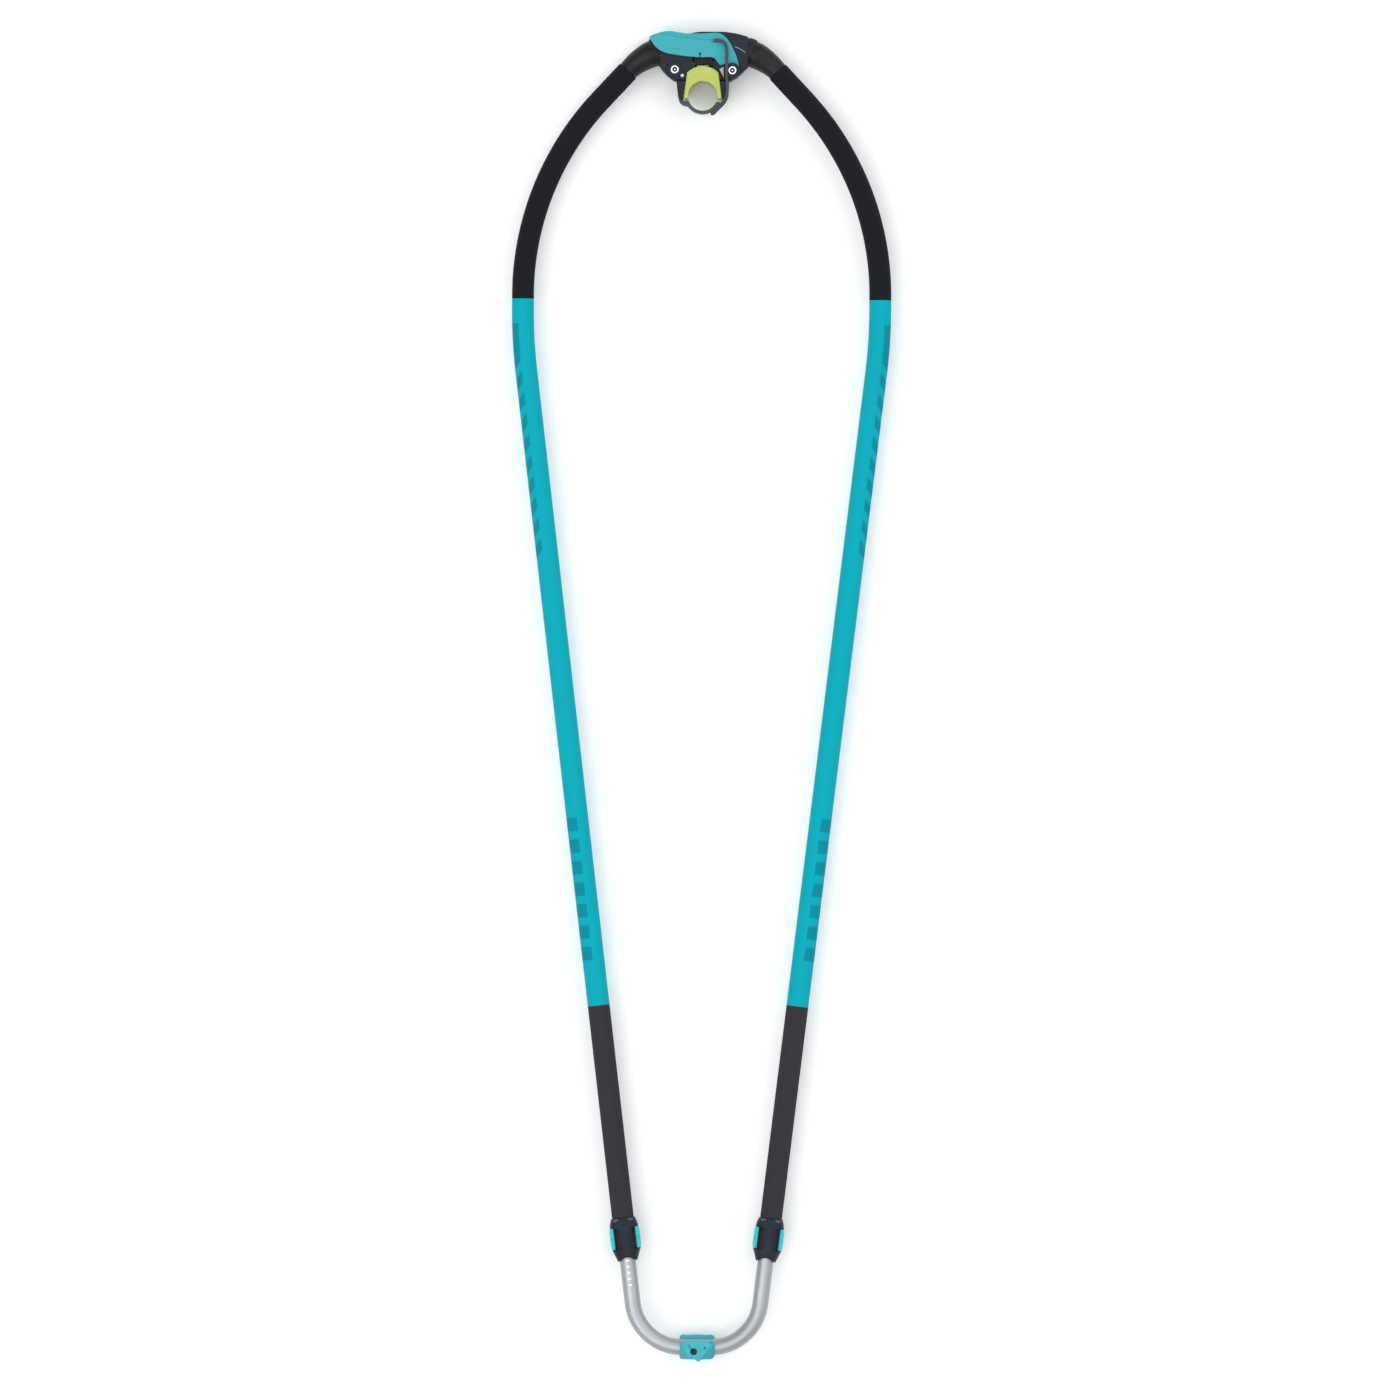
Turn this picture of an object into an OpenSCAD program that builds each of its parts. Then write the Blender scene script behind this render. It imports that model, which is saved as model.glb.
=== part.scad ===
// Wishbone boom for a windsurfing rig, lying flat: mast clamp at the front, telescopic tail at the back.
// The origin is the mast's axis at mid height, +Y points forward and +X to the right arm.

/* [Arm line] */
// Distance from the mast's axis forward to the front tube's axis
front_y = 72; // [71:0.5:73]
// Half of the straight stretch across the front
front_half = 34; // [32:1:36]
// Radius of the shoulder bends
shoulder_r = 106; // [104:1:108]
// Radius of the long side bends
side_r = 430; // [420:5:440]
// Slant of the straight rear arms towards the middle, in degrees
rear_slant = 6.8; // [6.6:0.1:7]
// Radius of the tail bends
tail_r = 75; // [72:1:78]

/* [Tubes and grips] */
// Outer diameter of the front tube at the head
bend_d = 40; // [39:0.5:40]
// Outer diameter of the front tube where the grips start
bend_end_d = 30.5; // [30:0.5:31]
// Outer diameter of the arm tubes
arm_d = 28; // [28:0.1:28.2]
// Wall of the arm tubes
arm_wall = 1.4; // [1.2:0.1:1.5]
// Outer diameter of the tail tube
tail_d = 24; // [23.8:0.1:24]
// Wall of the tail tube
tail_wall = 1.5; // [1.2:0.1:1.5]
// Outer diameter of the foam grips
grip_d = 33; // [32:0.5:35]

/* [Grip ends, measured back from the mast's axis] */
// End of the front grips
grip_front_end = 304.5; // [300:1:310]
// End of the middle grips
grip_middle_end = 1364; // [1350:1:1380]
// End of the rear grips and start of the locks
lock_start = 1682; // [1680:1:1684]

/* [Tail] */
// How far the tail pulls out
tail_travel = 500; // [400:20:500]
// Spacing of the length holes
hole_pitch = 20; // [20:5:30]
// Start of the tail bends, measured back from the mast's axis
bend_start = 1810; // [1808:1:1812]

/* [Head] */
// Radius of the mast that the cup holds
mast_r = 21.5; // [21:0.25:21.5]
// Height of the mast cup
cup_h = 60; // [58:1:62]
// Half height of the head shells
deck_z = 24; // [24:0.25:24.25]
// Place of the lever's pivot, right and forward of the mast's axis
pivot_x = 44.3; // [43.8:0.1:44.8]
pivot_y = 37.8; // [37.4:0.1:38.2]
// Thickness of each lever plate
lever_t = 5.5; // [5:0.5:6]

/* [Hidden] */

sides = 24;
fine = 64;
gap = 0.3;
run_gap = 0.06;
bend_step = 4.4;

// ---- line of an arm, as stretches of [length, degrees turned inward] from the middle of the front ----
shoulder_turn = 47;
shoulder_run = 60;
side_run = 20;
waist_r = 800;
function arc_run(r, a) = r * a * PI / 180;
// Where the waist bend ends and the straight rear arm starts, along Y
waist_y = front_y - shoulder_r * (1 - sin(90 - shoulder_turn)) - shoulder_run * cos(90 - shoulder_turn)
    - side_r * sin(90 - shoulder_turn) - side_run - waist_r * sin(rear_slant);
rear_run = (waist_y + bend_start) / cos(rear_slant);
ARM = [[front_half, 0], [arc_run(shoulder_r, shoulder_turn), shoulder_turn], [shoulder_run, 0],
    [arc_run(side_r, 90 - shoulder_turn), 90 - shoulder_turn], [side_run, 0],
    [arc_run(waist_r, rear_slant), rear_slant], [rear_run, 0],
    [arc_run(tail_r, 90 - rear_slant), 90 - rear_slant]];

// One step of length d that turns inward by a degrees, from p = [x, y, heading]
function stride(p, d, a) = a == 0
    ? [p[0] + d * sin(p[2]), p[1] - d * cos(p[2]), p[2]]
    : let (r = d * 180 / PI / a, h = p[2] - a)
        [p[0] + r * (cos(h) - cos(p[2])), p[1] + r * (sin(h) - sin(p[2])), h];
// Place and heading after a run s along the right arm
function place(s, i = 0, p = [0, front_y, 90]) =
    s > ARM[i][0] && i < len(ARM) - 1
        ? place(s - ARM[i][0], i + 1, stride(p, ARM[i][0], ARM[i][1]))
        : stride(p, s, ARM[i][1] * s / ARM[i][0]);
function start_of(i) = i == 0 ? 0 : start_of(i - 1) + ARM[i - 1][0];
// Stops along the arm from s0 to s1, close together only in the bends
function stops(s0, s1) = concat([s0],
    [for (i = [0 : len(ARM) - 1])
        let (n = max(1, ceil(ARM[i][1] / bend_step)))
        for (k = [0 : n - 1])
            let (s = start_of(i) + ARM[i][0] * k / n)
            if (s > s0 + 2 && s < s1 - 2) s],
    [s1]);
// Run along the arm at which the straight rear arm is y behind the mast's axis
function rear_s(y) = start_of(6) + (waist_y + y) / cos(rear_slant);
grip_s = start_of(2);
grip_split_s = start_of(4) + grip_front_end + waist_y + waist_r * sin(rear_slant) + side_run;
middle_s = rear_s(grip_middle_end);
lock_s = rear_s(lock_start);
bend_s = start_of(7);

// ---- swept tubes: each ring is [run along the arm, outer radius, inner radius], left side negative ----
function ring(s, r, n = sides) =
    let (p = place(abs(s)), side = s < 0 ? -1 : 1)
    [for (j = [0 : n - 1]) let (a = 360 * j / n)
        [side * (p[0] + r * cos(a) * cos(p[2])), p[1] + r * cos(a) * sin(p[2]), r * sin(a)]];
// Closed skin over rings of points; the inner rings run back inside the outer ones
module skin(outer, inner = []) {
    n = len(outer[0]);
    loop = concat(outer, [for (i = [len(inner) - 1 : -1 : 0]) inner[i]]);
    m = len(loop);
    closed = len(inner) > 0;
    walls = [for (i = [0 : closed ? m - 1 : m - 2], j = [0 : n - 1])
        [i * n + j, (i + 1) % m * n + j, (i + 1) % m * n + (j + 1) % n, i * n + (j + 1) % n]];
    ends = closed ? [] : [[for (j = [0 : n - 1]) j], [for (j = [n - 1 : -1 : 0]) (m - 1) * n + j]];
    polyhedron([for (r = loop) each r], concat(walls, ends), convexity = 6);
}
module arm_sweep(rings, n = sides) {
    skin([for (k = rings) ring(k[0], k[1], n)], [for (k = rings) if (k[2] > 0) ring(k[0], k[2], n)]);
}
module arm_tube(r, r_in, s0, s1) {
    arm_sweep([for (s = stops(s0, s1)) [s, r, r_in]]);
}
// Children drawn with their own -Y along the right arm's run, at s
module on_arm(s) {
    p = place(s);
    translate([p[0], p[1], 0]) rotate([0, 0, p[2]]) children();
}
module left() {
    mirror([1, 0, 0]) children();
}
// Straight tube along -Y from the local origin
module pipe(r, r_in, h) {
    rotate([90, 0, 0]) difference() {
        cylinder(h = h, r = r, $fn = fine);
        translate([0, 0, -1]) cylinder(h = h + 2, r = r_in, $fn = fine);
    }
}
module disc(x, y, z0, z1, r) {
    translate([x, y, z0]) cylinder(h = z1 - z0, r = r, $fn = fine);
}
module slab(points, z0, z1) {
    translate([0, 0, z0]) linear_extrude(z1 - z0) polygon(points);
}
module box(low, high) {
    translate(low) cube(high - low);
}

// ---- tubes ----
spigot_r = arm_d / 2 - arm_wall - 0.1;
spigot_l = 45;
bend_wall = 2.6;
flare_s = 82;
// Rings of half the front tube, from the head's side to the spigot inside the arm tube
function bend_r(s) = lookup(s, [[0, bend_d / 2], [flare_s, bend_d / 2], [grip_s, bend_end_d / 2]]);
half_bend = concat([for (s = stops(front_half, grip_s)) [s, bend_r(s), bend_r(s) - bend_wall]],
    [[grip_s + 0.05, spigot_r, spigot_r - 2], [grip_s + spigot_l, spigot_r, spigot_r - 2]]);
module front_bend_tube() {
    color("#17181b") arm_sweep(concat(
        [for (i = [len(half_bend) - 1 : -1 : 0]) [-half_bend[i][0], half_bend[i][1], half_bend[i][2]]],
        half_bend));
}
module arm_tube_right() {
    color("#26282c") arm_tube(arm_d / 2, arm_d / 2 - arm_wall, grip_s + gap, lock_s + seat_l);
}
module arm_tube_left() {
    left() arm_tube_right();
}

// ---- foam grips ----
grip_in = arm_d / 2 + 0.1;
module grip_front_right() {
    color("#1e1f24") arm_tube(grip_d / 2, grip_in, grip_s + gap, grip_split_s);
}
module grip_front_left() {
    left() grip_front_right();
}
module grip_middle_right() {
    color("#00b1c2") arm_tube(grip_d / 2, grip_in, grip_split_s + 0.1, middle_s);
}
module grip_middle_left() {
    left() grip_middle_right();
}
module grip_rear_right() {
    color("#3a383e") on_arm(middle_s + 0.1) pipe(grip_d / 2, grip_in, lock_s - middle_s - 0.2);
}
module grip_rear_left() {
    left() grip_rear_right();
}

// ---- head ----
liner_t = 2;
head_left = -65.5;
head_right = 68.5;
head_front = 96.2;
cleft_top = 58;
cleft_w = 15.5;
screw_x = -42;
screw_y = 39.2;
// Outline of the head shells seen from above
head_outline = [[head_left, 46], [head_left, 84], [-58, 91], [-25, 92.5], [-4, head_front],
    [32, head_front], [50, 93.8], [66.5, 89.3], [head_right, 87], [head_right, 45], [66.5, 42.8],
    [55.3, 31.5], [42, 22.5], [-42, 22.5], [-50.5, 28], [-59.5, 37]];
cup_crown_r = 32.9;
cup_crown_y = 11.5;
cup_top_w = 23.6;
// Plan of the cup's outside, grown by g all round
module cup_plan(g, z) {
    slab([[-28.4 - g, -4.4 - g], [-cup_top_w - g, 36], [cup_top_w + g, 36], [28.4 + g, -4.4 - g]], -z, z);
    intersection() {
        disc(0, cup_crown_y, -z, z, cup_crown_r + g);
        box([-cup_top_w - g, 35, -z - 1], [cup_top_w + g, 60, z + 1]);
    }
}
module head_shell() {
    tube_pocket = [for (s = stops(front_half, flare_s)) [s, bend_r(s) + liner_t + 0.05, 0]];
    difference() {
        union() {
            slab(head_outline, 0.05, deck_z);
            disc(screw_x, screw_y, deck_z - 1, deck_z + boss_h, cap_r);
        }
        arm_sweep(concat([for (i = [len(tube_pocket) - 1 : -1 : 0])
            [-tube_pocket[i][0], tube_pocket[i][1], 0]], tube_pocket));
        cup_plan(0.4, deck_z + 1);
        box([-cleft_w, 40, -1], [cleft_w + 1.5, cleft_top + 0.4, deck_z + 1]);
        box([-41.4, 20, -1], [41.4, 49.6, fork_z + 0.1]);
        disc(pivot_x, pivot_y, -1, deck_z + 1, pin_r + 0.1);
        disc(screw_x, screw_y, -1, deck_z + boss_h + 1, pin_r + 0.1);
        disc(rivet_x, rivet_y, -1, deck_z + 1, rivet_r + 0.05);
    }
}
module head_shell_upper() {
    color("#2b3038") head_shell();
}
module head_shell_lower() {
    color("#2b3038") mirror([0, 0, 1]) head_shell();
}
module head_liner() {
    rings = [for (s = stops(front_half, 74)) [s, bend_r(s) + liner_t, bend_r(s) + 0.05]];
    color("#101113") arm_sweep(concat(
        [for (i = [len(rings) - 1 : -1 : 0]) [-rings[i][0], rings[i][1], rings[i][2]]], rings));
}
fork_z = 12;
jaw_z = 28;
// Right jaw arm outside the head shells
jaw_plan = [[26, 22.2], [29.3, -5.6], [33, -6.6], [36.6, -2], [39.5, 22.2]];
module jaw_right() {
    color("#23272e") difference() {
        union() {
            box([cleft_w + 2, 22.2, -fork_z], [41.2, 49.4, fork_z]);
            slab(jaw_plan, -jaw_z, jaw_z);
        }
        cup_plan(0.2, jaw_z + 1);
        disc(pivot_x, pivot_y, -fork_z - 1, fork_z + 1, pin_r + 0.1);
    }
}
// The left jaw also holds the strap, in a slot across its pin
module jaw_left() {
    color("#23272e") difference() {
        union() {
            box([-41.2, 22.2, -fork_z], [-cleft_w - 0.5, 49.4, fork_z]);
            left() slab(jaw_plan, -jaw_z, jaw_z);
        }
        cup_plan(0.2, jaw_z + 1);
        disc(screw_x, screw_y, -fork_z - 1, fork_z + 1, pin_r + 0.1);
        disc(rivet_x, rivet_y, -fork_z - 1, fork_z + 1, rivet_r + 0.05);
        disc(strap_pin_x, strap_pin_y, -jaw_z - 1, jaw_z + 1, strap_pin_r);
        box([-44, -9, -strap_z - gap], [-31.4, 12, strap_z + gap]);
    }
}
module mast_cup() {
    color("#cdd778") difference() {
        cup_plan(0, cup_h / 2);
        disc(0, 0, -cup_h / 2 - 1, cup_h / 2 + 1, mast_r);
    }
}
// Ribbed rubber block behind the cup, with a lip over and under the front tube
buffer_z = deck_z - 2;
module cup_buffer() {
    color("#15161a") difference() {
        union() {
            box([-13.4, 45.2, -buffer_z], [15.6, 49.4, buffer_z]);
            box([-13.4, 45.2, buffer_z - 3.4], [15.6, cleft_top, buffer_z]);
            box([-13.4, 45.2, -buffer_z], [15.6, cleft_top, 3.4 - buffer_z]);
        }
        for (x = [-7.6, 0.4, 8.4]) box([x, 44, -deck_z], [x + 1.6, 47.4, deck_z]);
    }
}
rivet_x = -30.7;
rivet_y = 30.3;
rivet_r = 2.5;
rivet_z = deck_z + 0.7;
module jaw_rivet() {
    color("#e3e6ea") disc(rivet_x, rivet_y, -rivet_z, rivet_z, rivet_r);
}
// Small wedge that keeps the rope off the cup
module rope_guide() {
    color("#9aa3ad") slab([[24.6, 39.8], [32, 44.2], [32.4, 25.4]], deck_z + 0.05, deck_z + 5);
}

// ---- head screws ----
pin_r = 4;
head_r = 6.15;
head_h = 2.6;
nut_r = 7;
cap_r = 11.6;
cap_h = 3;
boss_h = 2;
cap_z = deck_z + lever_t + 2 * gap;
module cap_screw(x, y, z_seat) {
    difference() {
        union() {
            disc(x, y, -z_seat - 4, z_seat + 0.01, pin_r);
            disc(x, y, z_seat, z_seat + head_h, head_r);
        }
        translate([x, y, z_seat - 1]) cylinder(h = head_h + 2, r = 3, $fn = 6);
    }
}
module cap_nut(x, y, z_seat) {
    difference() {
        translate([x, y, -z_seat - 4]) rotate([0, 0, 30]) cylinder(h = 4, r = nut_r, $fn = 6);
        disc(x, y, -z_seat - 5, -z_seat + 1, pin_r + 0.05);
    }
}
module left_screw() {
    color("#dfe2e5") cap_screw(screw_x, screw_y, deck_z + boss_h);
}
module left_nut() {
    color("#c8ccd0") cap_nut(screw_x, screw_y, deck_z + boss_h + 0.05);
}
module pivot_screw() {
    color("#dfe2e5") cap_screw(pivot_x, pivot_y, cap_z + cap_h);
}
module pivot_nut() {
    color("#c8ccd0") cap_nut(pivot_x, pivot_y, cap_z + cap_h + 0.05);
}
module pivot_caps() {
    color("#23272e") for (side = [0, 1]) mirror([0, 0, side]) difference() {
        disc(pivot_x, pivot_y, cap_z, cap_z + cap_h, cap_r);
        disc(pivot_x, pivot_y, cap_z - 1, cap_z + cap_h + 1, pin_r + 0.05);
    }
}

// ---- clamping lever: a plate above and below the head, joined by the handle's web ----
bush_r = 6;
ear_r = 11;
lever_outline = [[-81.4, 88.5], [-66, 94.2], [-57, 96.4], [-48.1, 96.8], [-40, 95.4], [-25, 92.9],
    [-4, 93.2], [20, 94.4], [26.5, 93.4], [32, 90], [37, 84.6], [41, 78.8], [46, 69], [49.6, 61.4],
    [53.8, 47.6], [54.4, 38], [36.6, 30.6], [35, 48.6], [26, 45.2], [20.8, 52.2], [17.5, 56], [12.5, 57.8],
    [-4, 57.4], [-25, 58.8], [-48.1, 62], [-58, 64.6], [-65.5, 68.3], [-71, 73], [-74.5, 77.3]];
web_plan = [[-80.6, 88.6], [-78.4, 87.2], [-62.6, 92.2], [-64.4, 94.4]];
module clamp_lever() {
    low = deck_z + gap;
    high = deck_z + gap + lever_t;
    color("#23b4be") difference() {
        union() {
            slab(lever_outline, low, high);
            slab(lever_outline, -high, -low);
            slab(web_plan, -low - 1, low + 1);
            disc(pivot_x, pivot_y, low, high, ear_r);
            disc(pivot_x, pivot_y, -high, -low, ear_r);
        }
        disc(pivot_x, pivot_y, -high - 1, high + 1, bush_r);
        disc(-4.4, 62.6, -high - 1, high + 1, 1.6);
        box([-5.1, 55, -high - 1], [-3.7, 62, high + 1]);
        for (side = [0, 1]) mirror([0, 0, side])
            box([12.8, 79.4, high - 2.8], [27, 85.4, high + 1]);
    }
}
module lever_bushes() {
    color("#b9bdc2") for (side = [0, 1]) mirror([0, 0, side]) difference() {
        disc(pivot_x, pivot_y, deck_z + gap, deck_z + gap + lever_t, bush_r);
        disc(pivot_x, pivot_y, deck_z - 1, deck_z + lever_t + 2, pin_r + run_gap);
    }
}

// ---- rope and strap round the mast ----
rope_r = 2.4;
rope_z = deck_z + gap + lever_t + rope_r + 0.2;
// Upper half of the rope's route, from the slot in the lever to the strap's end
ROPE = [[16, 82.4, rope_z - 2.2], [20, 82.6, rope_z - 0.8], [26.6, 82, rope_z], [32, 79, rope_z],
    [34.6, 74, rope_z], [35.6, 67, rope_z], [35.6, 60, rope_z + 0.6], [35.6, 53, rope_z + 2.4],
    [35.6, 46, rope_z + 3.4], [35.6, 38, rope_z + 3.6], [35.6, 30, rope_z + 3.4],
    [36.4, 23, rope_z + 1.6], [37, 16, 32.6], [36.8, 8, 31.6], [35.8, 0, 31], [33.4, -5, 31],
    [30.6, -9.4, 30], [27.6, -13, 27], [24.8, -16, 23], [21, -19.8, 18.6], [17.6, -23.4, 15.4],
    [15.4, -25.6, 10.6], [14.4, -26, 5], [14.4, -26, 0]];
function unit(v) = v / norm(v);
// Ring of n points round the direction t, turned to face along u
function cross_ring(p, t, u, r, n) =
    let (b = unit(u - (u * t) * t), c = cross(t, b))
    [for (j = [0 : n - 1]) let (a = 360 * j / n) p + r * (cos(a) * b + sin(a) * c)];
module clamp_rope() {
    under = [for (i = [len(ROPE) - 2 : -1 : 0]) [ROPE[i][0], ROPE[i][1], -ROPE[i][2]]];
    route = concat(ROPE, under);
    last = len(route) - 1;
    color("#2f3338") skin([for (i = [0 : last])
        let (t = unit(route[min(i + 1, last)] - route[max(i - 1, 0)]))
        cross_ring(route[i], t, unit([route[i][0], route[i][1] - 25, 0]), rope_r, 8)]);
}
strap_z = 14;
strap_t = 5;
strap_in = mast_r + gap;
strap_pin_x = -33.6;
strap_pin_y = 3;
strap_pin_r = 2;
// The strap leaves its pin, goes round the mast and ends in a hook for the rope
strap_root = [[-26, -6.6], [-31, -6.9], [-31.8, -5.4], [-31.8, 7.4], [-37, 7.4], [-36.8, -2],
    [-34.4, -9.6], [-29.5, -14]];
strap_hook = [[24.8, -20.4], [27.4, -17], [27.6, -11.4], [24.4, -8.2], [20.6, -8.6], [18.6, -13.8]];
function round_points(r, from, to, step) = [for (a = [from : step : to]) [r * cos(a), r * sin(a)]];
module mast_strap() {
    color("#3a4048") difference() {
        slab(concat(strap_root, round_points(strap_in + strap_t, 215, 311, 8), strap_hook,
            round_points(strap_in - 3, 320, 200, -12)), -strap_z, strap_z);
        disc(0, 0, -strap_z - 1, strap_z + 1, strap_in);
        disc(strap_pin_x, strap_pin_y, -strap_z - 1, strap_z + 1, strap_pin_r + run_gap);
    }
}
module strap_pin() {
    color("#b9bdc2") disc(strap_pin_x, strap_pin_y, -jaw_z + 1, jaw_z - 1, strap_pin_r);
}

// ---- tail locks, drawn round the arm's own line with -Y towards the tail ----
seat_l = 20;
lock_l = 66;
lock_flat = 18;
bush_in = tail_d / 2 + run_gap;
rocker_x = 19.4;
rocker_y = -31;
rocker_z = 8;
bolt_y = -42;
bolt_r = 2.4;
axle_r = 1.5;
// Half outline of the housing: [radius, distance back]
lock_profile = [[0, 0], [17.6, 0], [19.4, 5], [20.9, 10], [21.6, 16], [21.6, 46], [20.6, 50], [14.4, lock_l],
    [0, lock_l]];
module lock_housing_right() {
    color("#2d323a") on_arm(lock_s) difference() {
        intersection() {
            rotate([90, 0, 0]) rotate_extrude($fn = fine) polygon(lock_profile);
            box([-30, -lock_l - 1, -lock_flat], [30, 1, lock_flat]);
        }
        rotate([90, 0, 0]) translate([0, 0, -1]) cylinder(h = 59, r = arm_d / 2 + 0.05, $fn = fine);
        rotate([90, 0, 0]) translate([0, 0, 50]) cylinder(h = lock_l, r = bush_in + 0.4, $fn = fine);
        for (side = [-1, 1]) {
            box([side > 0 ? 13 : -24, -47.2, -rocker_z - gap], [side > 0 ? 24 : -13, -14.4, rocker_z + gap]);
            disc(side * rocker_x, rocker_y, -rocker_z - 5, rocker_z + 5, axle_r);
        }
        disc(0, -10, 12, lock_flat + 1, 2.05);
        disc(0, -lock_l - 14, -lock_flat - 1, lock_flat + 1, 20);
    }
}
module lock_housing_left() {
    left() lock_housing_right();
}
module lock_bush_right() {
    color("#e4e1d8") on_arm(lock_s) difference() {
        translate([0, -seat_l - 1.5, 0]) pipe(arm_d / 2, bush_in, 36);
        translate([-20, bolt_y, 0]) rotate([0, 90, 0]) cylinder(h = 40, r = bolt_r + 1.6, $fn = fine);
    }
}
module lock_bush_left() {
    left() lock_bush_right();
}
// Rocker button on the +X side: pressing its front end lifts the bolt at its rear end
module rocker() {
    color("#0fcdd7") difference() {
        union() {
            slab([[17.4, -15], [20.6, -15], [22.6, -18], [22.8, -42], [21.4, -46.6], [17.4, -46.6]],
                -rocker_z, rocker_z);
            translate([10.6, bolt_y, 0]) rotate([0, 90, 0]) cylinder(h = 8, r = bolt_r, $fn = fine);
        }
        disc(rocker_x, rocker_y, -rocker_z - 1, rocker_z + 1, axle_r + run_gap);
        disc(rocker_x, rocker_y, -2.7, 2.7, 3.4);
    }
}
module rocker_right_outer() {
    on_arm(lock_s) rocker();
}
module rocker_right_inner() {
    on_arm(lock_s) left() rocker();
}
module rocker_left_outer() {
    left() rocker_right_outer();
}
module rocker_left_inner() {
    left() rocker_right_inner();
}
module rocker_pins_right() {
    color("#c9ccd0") on_arm(lock_s) for (side = [-1, 1])
        disc(side * rocker_x, rocker_y, -rocker_z - 3, rocker_z + 3, axle_r);
}
module rocker_pins_left() {
    left() rocker_pins_right();
}
module rocker_springs_right() {
    color("#a9adb2") on_arm(lock_s) for (side = [-1, 1]) difference() {
        disc(side * rocker_x, rocker_y, -2.3, 2.3, 3);
        disc(side * rocker_x, rocker_y, -3, 3, axle_r + 0.3);
    }
}
module rocker_springs_left() {
    left() rocker_springs_right();
}
module lock_screws() {
    color("#8d9298") for (side = [0, 1]) mirror([side, 0, 0]) on_arm(lock_s) difference() {
        disc(0, -10, arm_d / 2 + 0.05, lock_flat - 0.3, 2);
        translate([0, -10, lock_flat - 2]) cylinder(h = 3, r = 1.2, $fn = 6);
    }
}

// ---- tail ----
leg_over = 64;
module tail_tube() {
    rings = [for (s = stops(bend_s + 0.1, bend_s + ARM[7][0])) [s, tail_d / 2, tail_d / 2 - tail_wall]];
    color("#c3cacf") arm_sweep(concat(rings,
        [for (i = [len(rings) - 1 : -1 : 0]) [-rings[i][0], rings[i][1], rings[i][2]]]));
}
leg_l = leg_over + tail_travel + bend_start - lock_start;
leg_s = bend_s - leg_l;
module tail_leg_right() {
    color("#c3cacf") on_arm(leg_s) difference() {
        pipe(tail_d / 2, tail_d / 2 - tail_wall, leg_l);
        for (y = [0 : hole_pitch : tail_travel])
            translate([-20, y + leg_s - lock_s + bolt_y, 0]) rotate([0, 90, 0])
                cylinder(h = 40, r = bolt_r + 0.6, $fn = fine);
    }
}
module tail_leg_left() {
    left() tail_leg_right();
}

// ---- outhaul fitting ----
tail_y = place(bend_s + ARM[7][0])[1];
module outhaul_shell_upper() {
    color("#3cc3d0") difference() {
        slab([[-24, tail_y - 17], [-25, tail_y + 8], [-21, tail_y + 9.6], [24, tail_y + 9.6],
            [27.5, tail_y + 6.6], [27.5, tail_y - 13], [23, tail_y - 17.4], [7, tail_y - 17.6],
            [4.6, tail_y - 21], [1.6, tail_y - 20.6], [-1.4, tail_y - 17.8]], 0.05, 16.5);
        tail_bore();
        disc(-4, tail_y - 6, 14, 18, 5.2);
        disc(-4, tail_y - 6, -1, 18, 2.1);
        disc(13, tail_y - 0.6, 13.5, 18, 1.8);
        disc(22.6, tail_y + 8.6, 13.5, 18, 3);
    }
}
module tail_bore() {
    translate([-40, tail_y, 0]) rotate([0, 90, 0]) cylinder(h = 80, r = tail_d / 2 + 0.1, $fn = fine);
}
roller_y = tail_y + 1;
roller_z = -20.6;
roller_r = 6;
roller_w = 9;
roller_at = [-12, 14];
module outhaul_shell_lower() {
    color("#3cc3d0") difference() {
        slab([[-25, tail_y - 16.4], [-25, tail_y + 15], [-22, tail_y + 18], [24, tail_y + 18],
            [27.5, tail_y + 15], [27.5, tail_y - 13], [23, tail_y - 16.4]], -28.5, -0.05);
        tail_bore();
        box([-40, tail_y + 6, -6], [40, tail_y + 30, 1]);
        for (x = roller_at) box([x - roller_w / 2 - gap, tail_y - 6, -30],
            [x + roller_w / 2 + gap, tail_y + 30, -13.6]);
        translate([-22, roller_y, roller_z]) rotate([0, 90, 0])
            cylinder(h = 47, r = 2, $fn = fine);
        disc(-4, tail_y - 6, -30, 1, 2.1);
    }
}
module outhaul_screw() {
    color("#202226") difference() {
        union() {
            disc(-4, tail_y - 6, -26, 14.01, 2);
            disc(-4, tail_y - 6, 14, 16, 4.9);
        }
        translate([-4, tail_y - 6, 14.4]) cylinder(h = 3, r = 2.4, $fn = 6);
    }
}
module roller(x) {
    color("#e8eaec") translate([x, roller_y, roller_z]) rotate([0, 90, 0])
        rotate_extrude($fn = fine) polygon([[2 + run_gap, -roller_w / 2], [roller_r, -roller_w / 2],
            [roller_r - 1.4, -1], [roller_r - 1.4, 1], [roller_r, roller_w / 2],
            [2 + run_gap, roller_w / 2]]);
}
module roller_left() {
    roller(roller_at[0]);
}
module roller_right() {
    roller(roller_at[1]);
}
module roller_pin() {
    color("#b9bdc2") translate([-21.9, roller_y, roller_z]) rotate([0, 90, 0])
        cylinder(h = 46.8, r = 2, $fn = fine);
}

front_bend_tube();
arm_tube_left();
arm_tube_right();
grip_front_left();
grip_front_right();
grip_middle_left();
grip_middle_right();
grip_rear_left();
grip_rear_right();
head_shell_upper();
head_shell_lower();
head_liner();
jaw_left();
jaw_right();
mast_cup();
cup_buffer();
jaw_rivet();
rope_guide();
left_screw();
left_nut();
pivot_screw();
pivot_nut();
pivot_caps();
clamp_lever();
lever_bushes();
clamp_rope();
mast_strap();
strap_pin();
lock_housing_left();
lock_housing_right();
lock_bush_left();
lock_bush_right();
rocker_left_outer();
rocker_left_inner();
rocker_right_outer();
rocker_right_inner();
rocker_pins_left();
rocker_pins_right();
rocker_springs_left();
rocker_springs_right();
lock_screws();
tail_tube();
tail_leg_left();
tail_leg_right();
outhaul_shell_upper();
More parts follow.
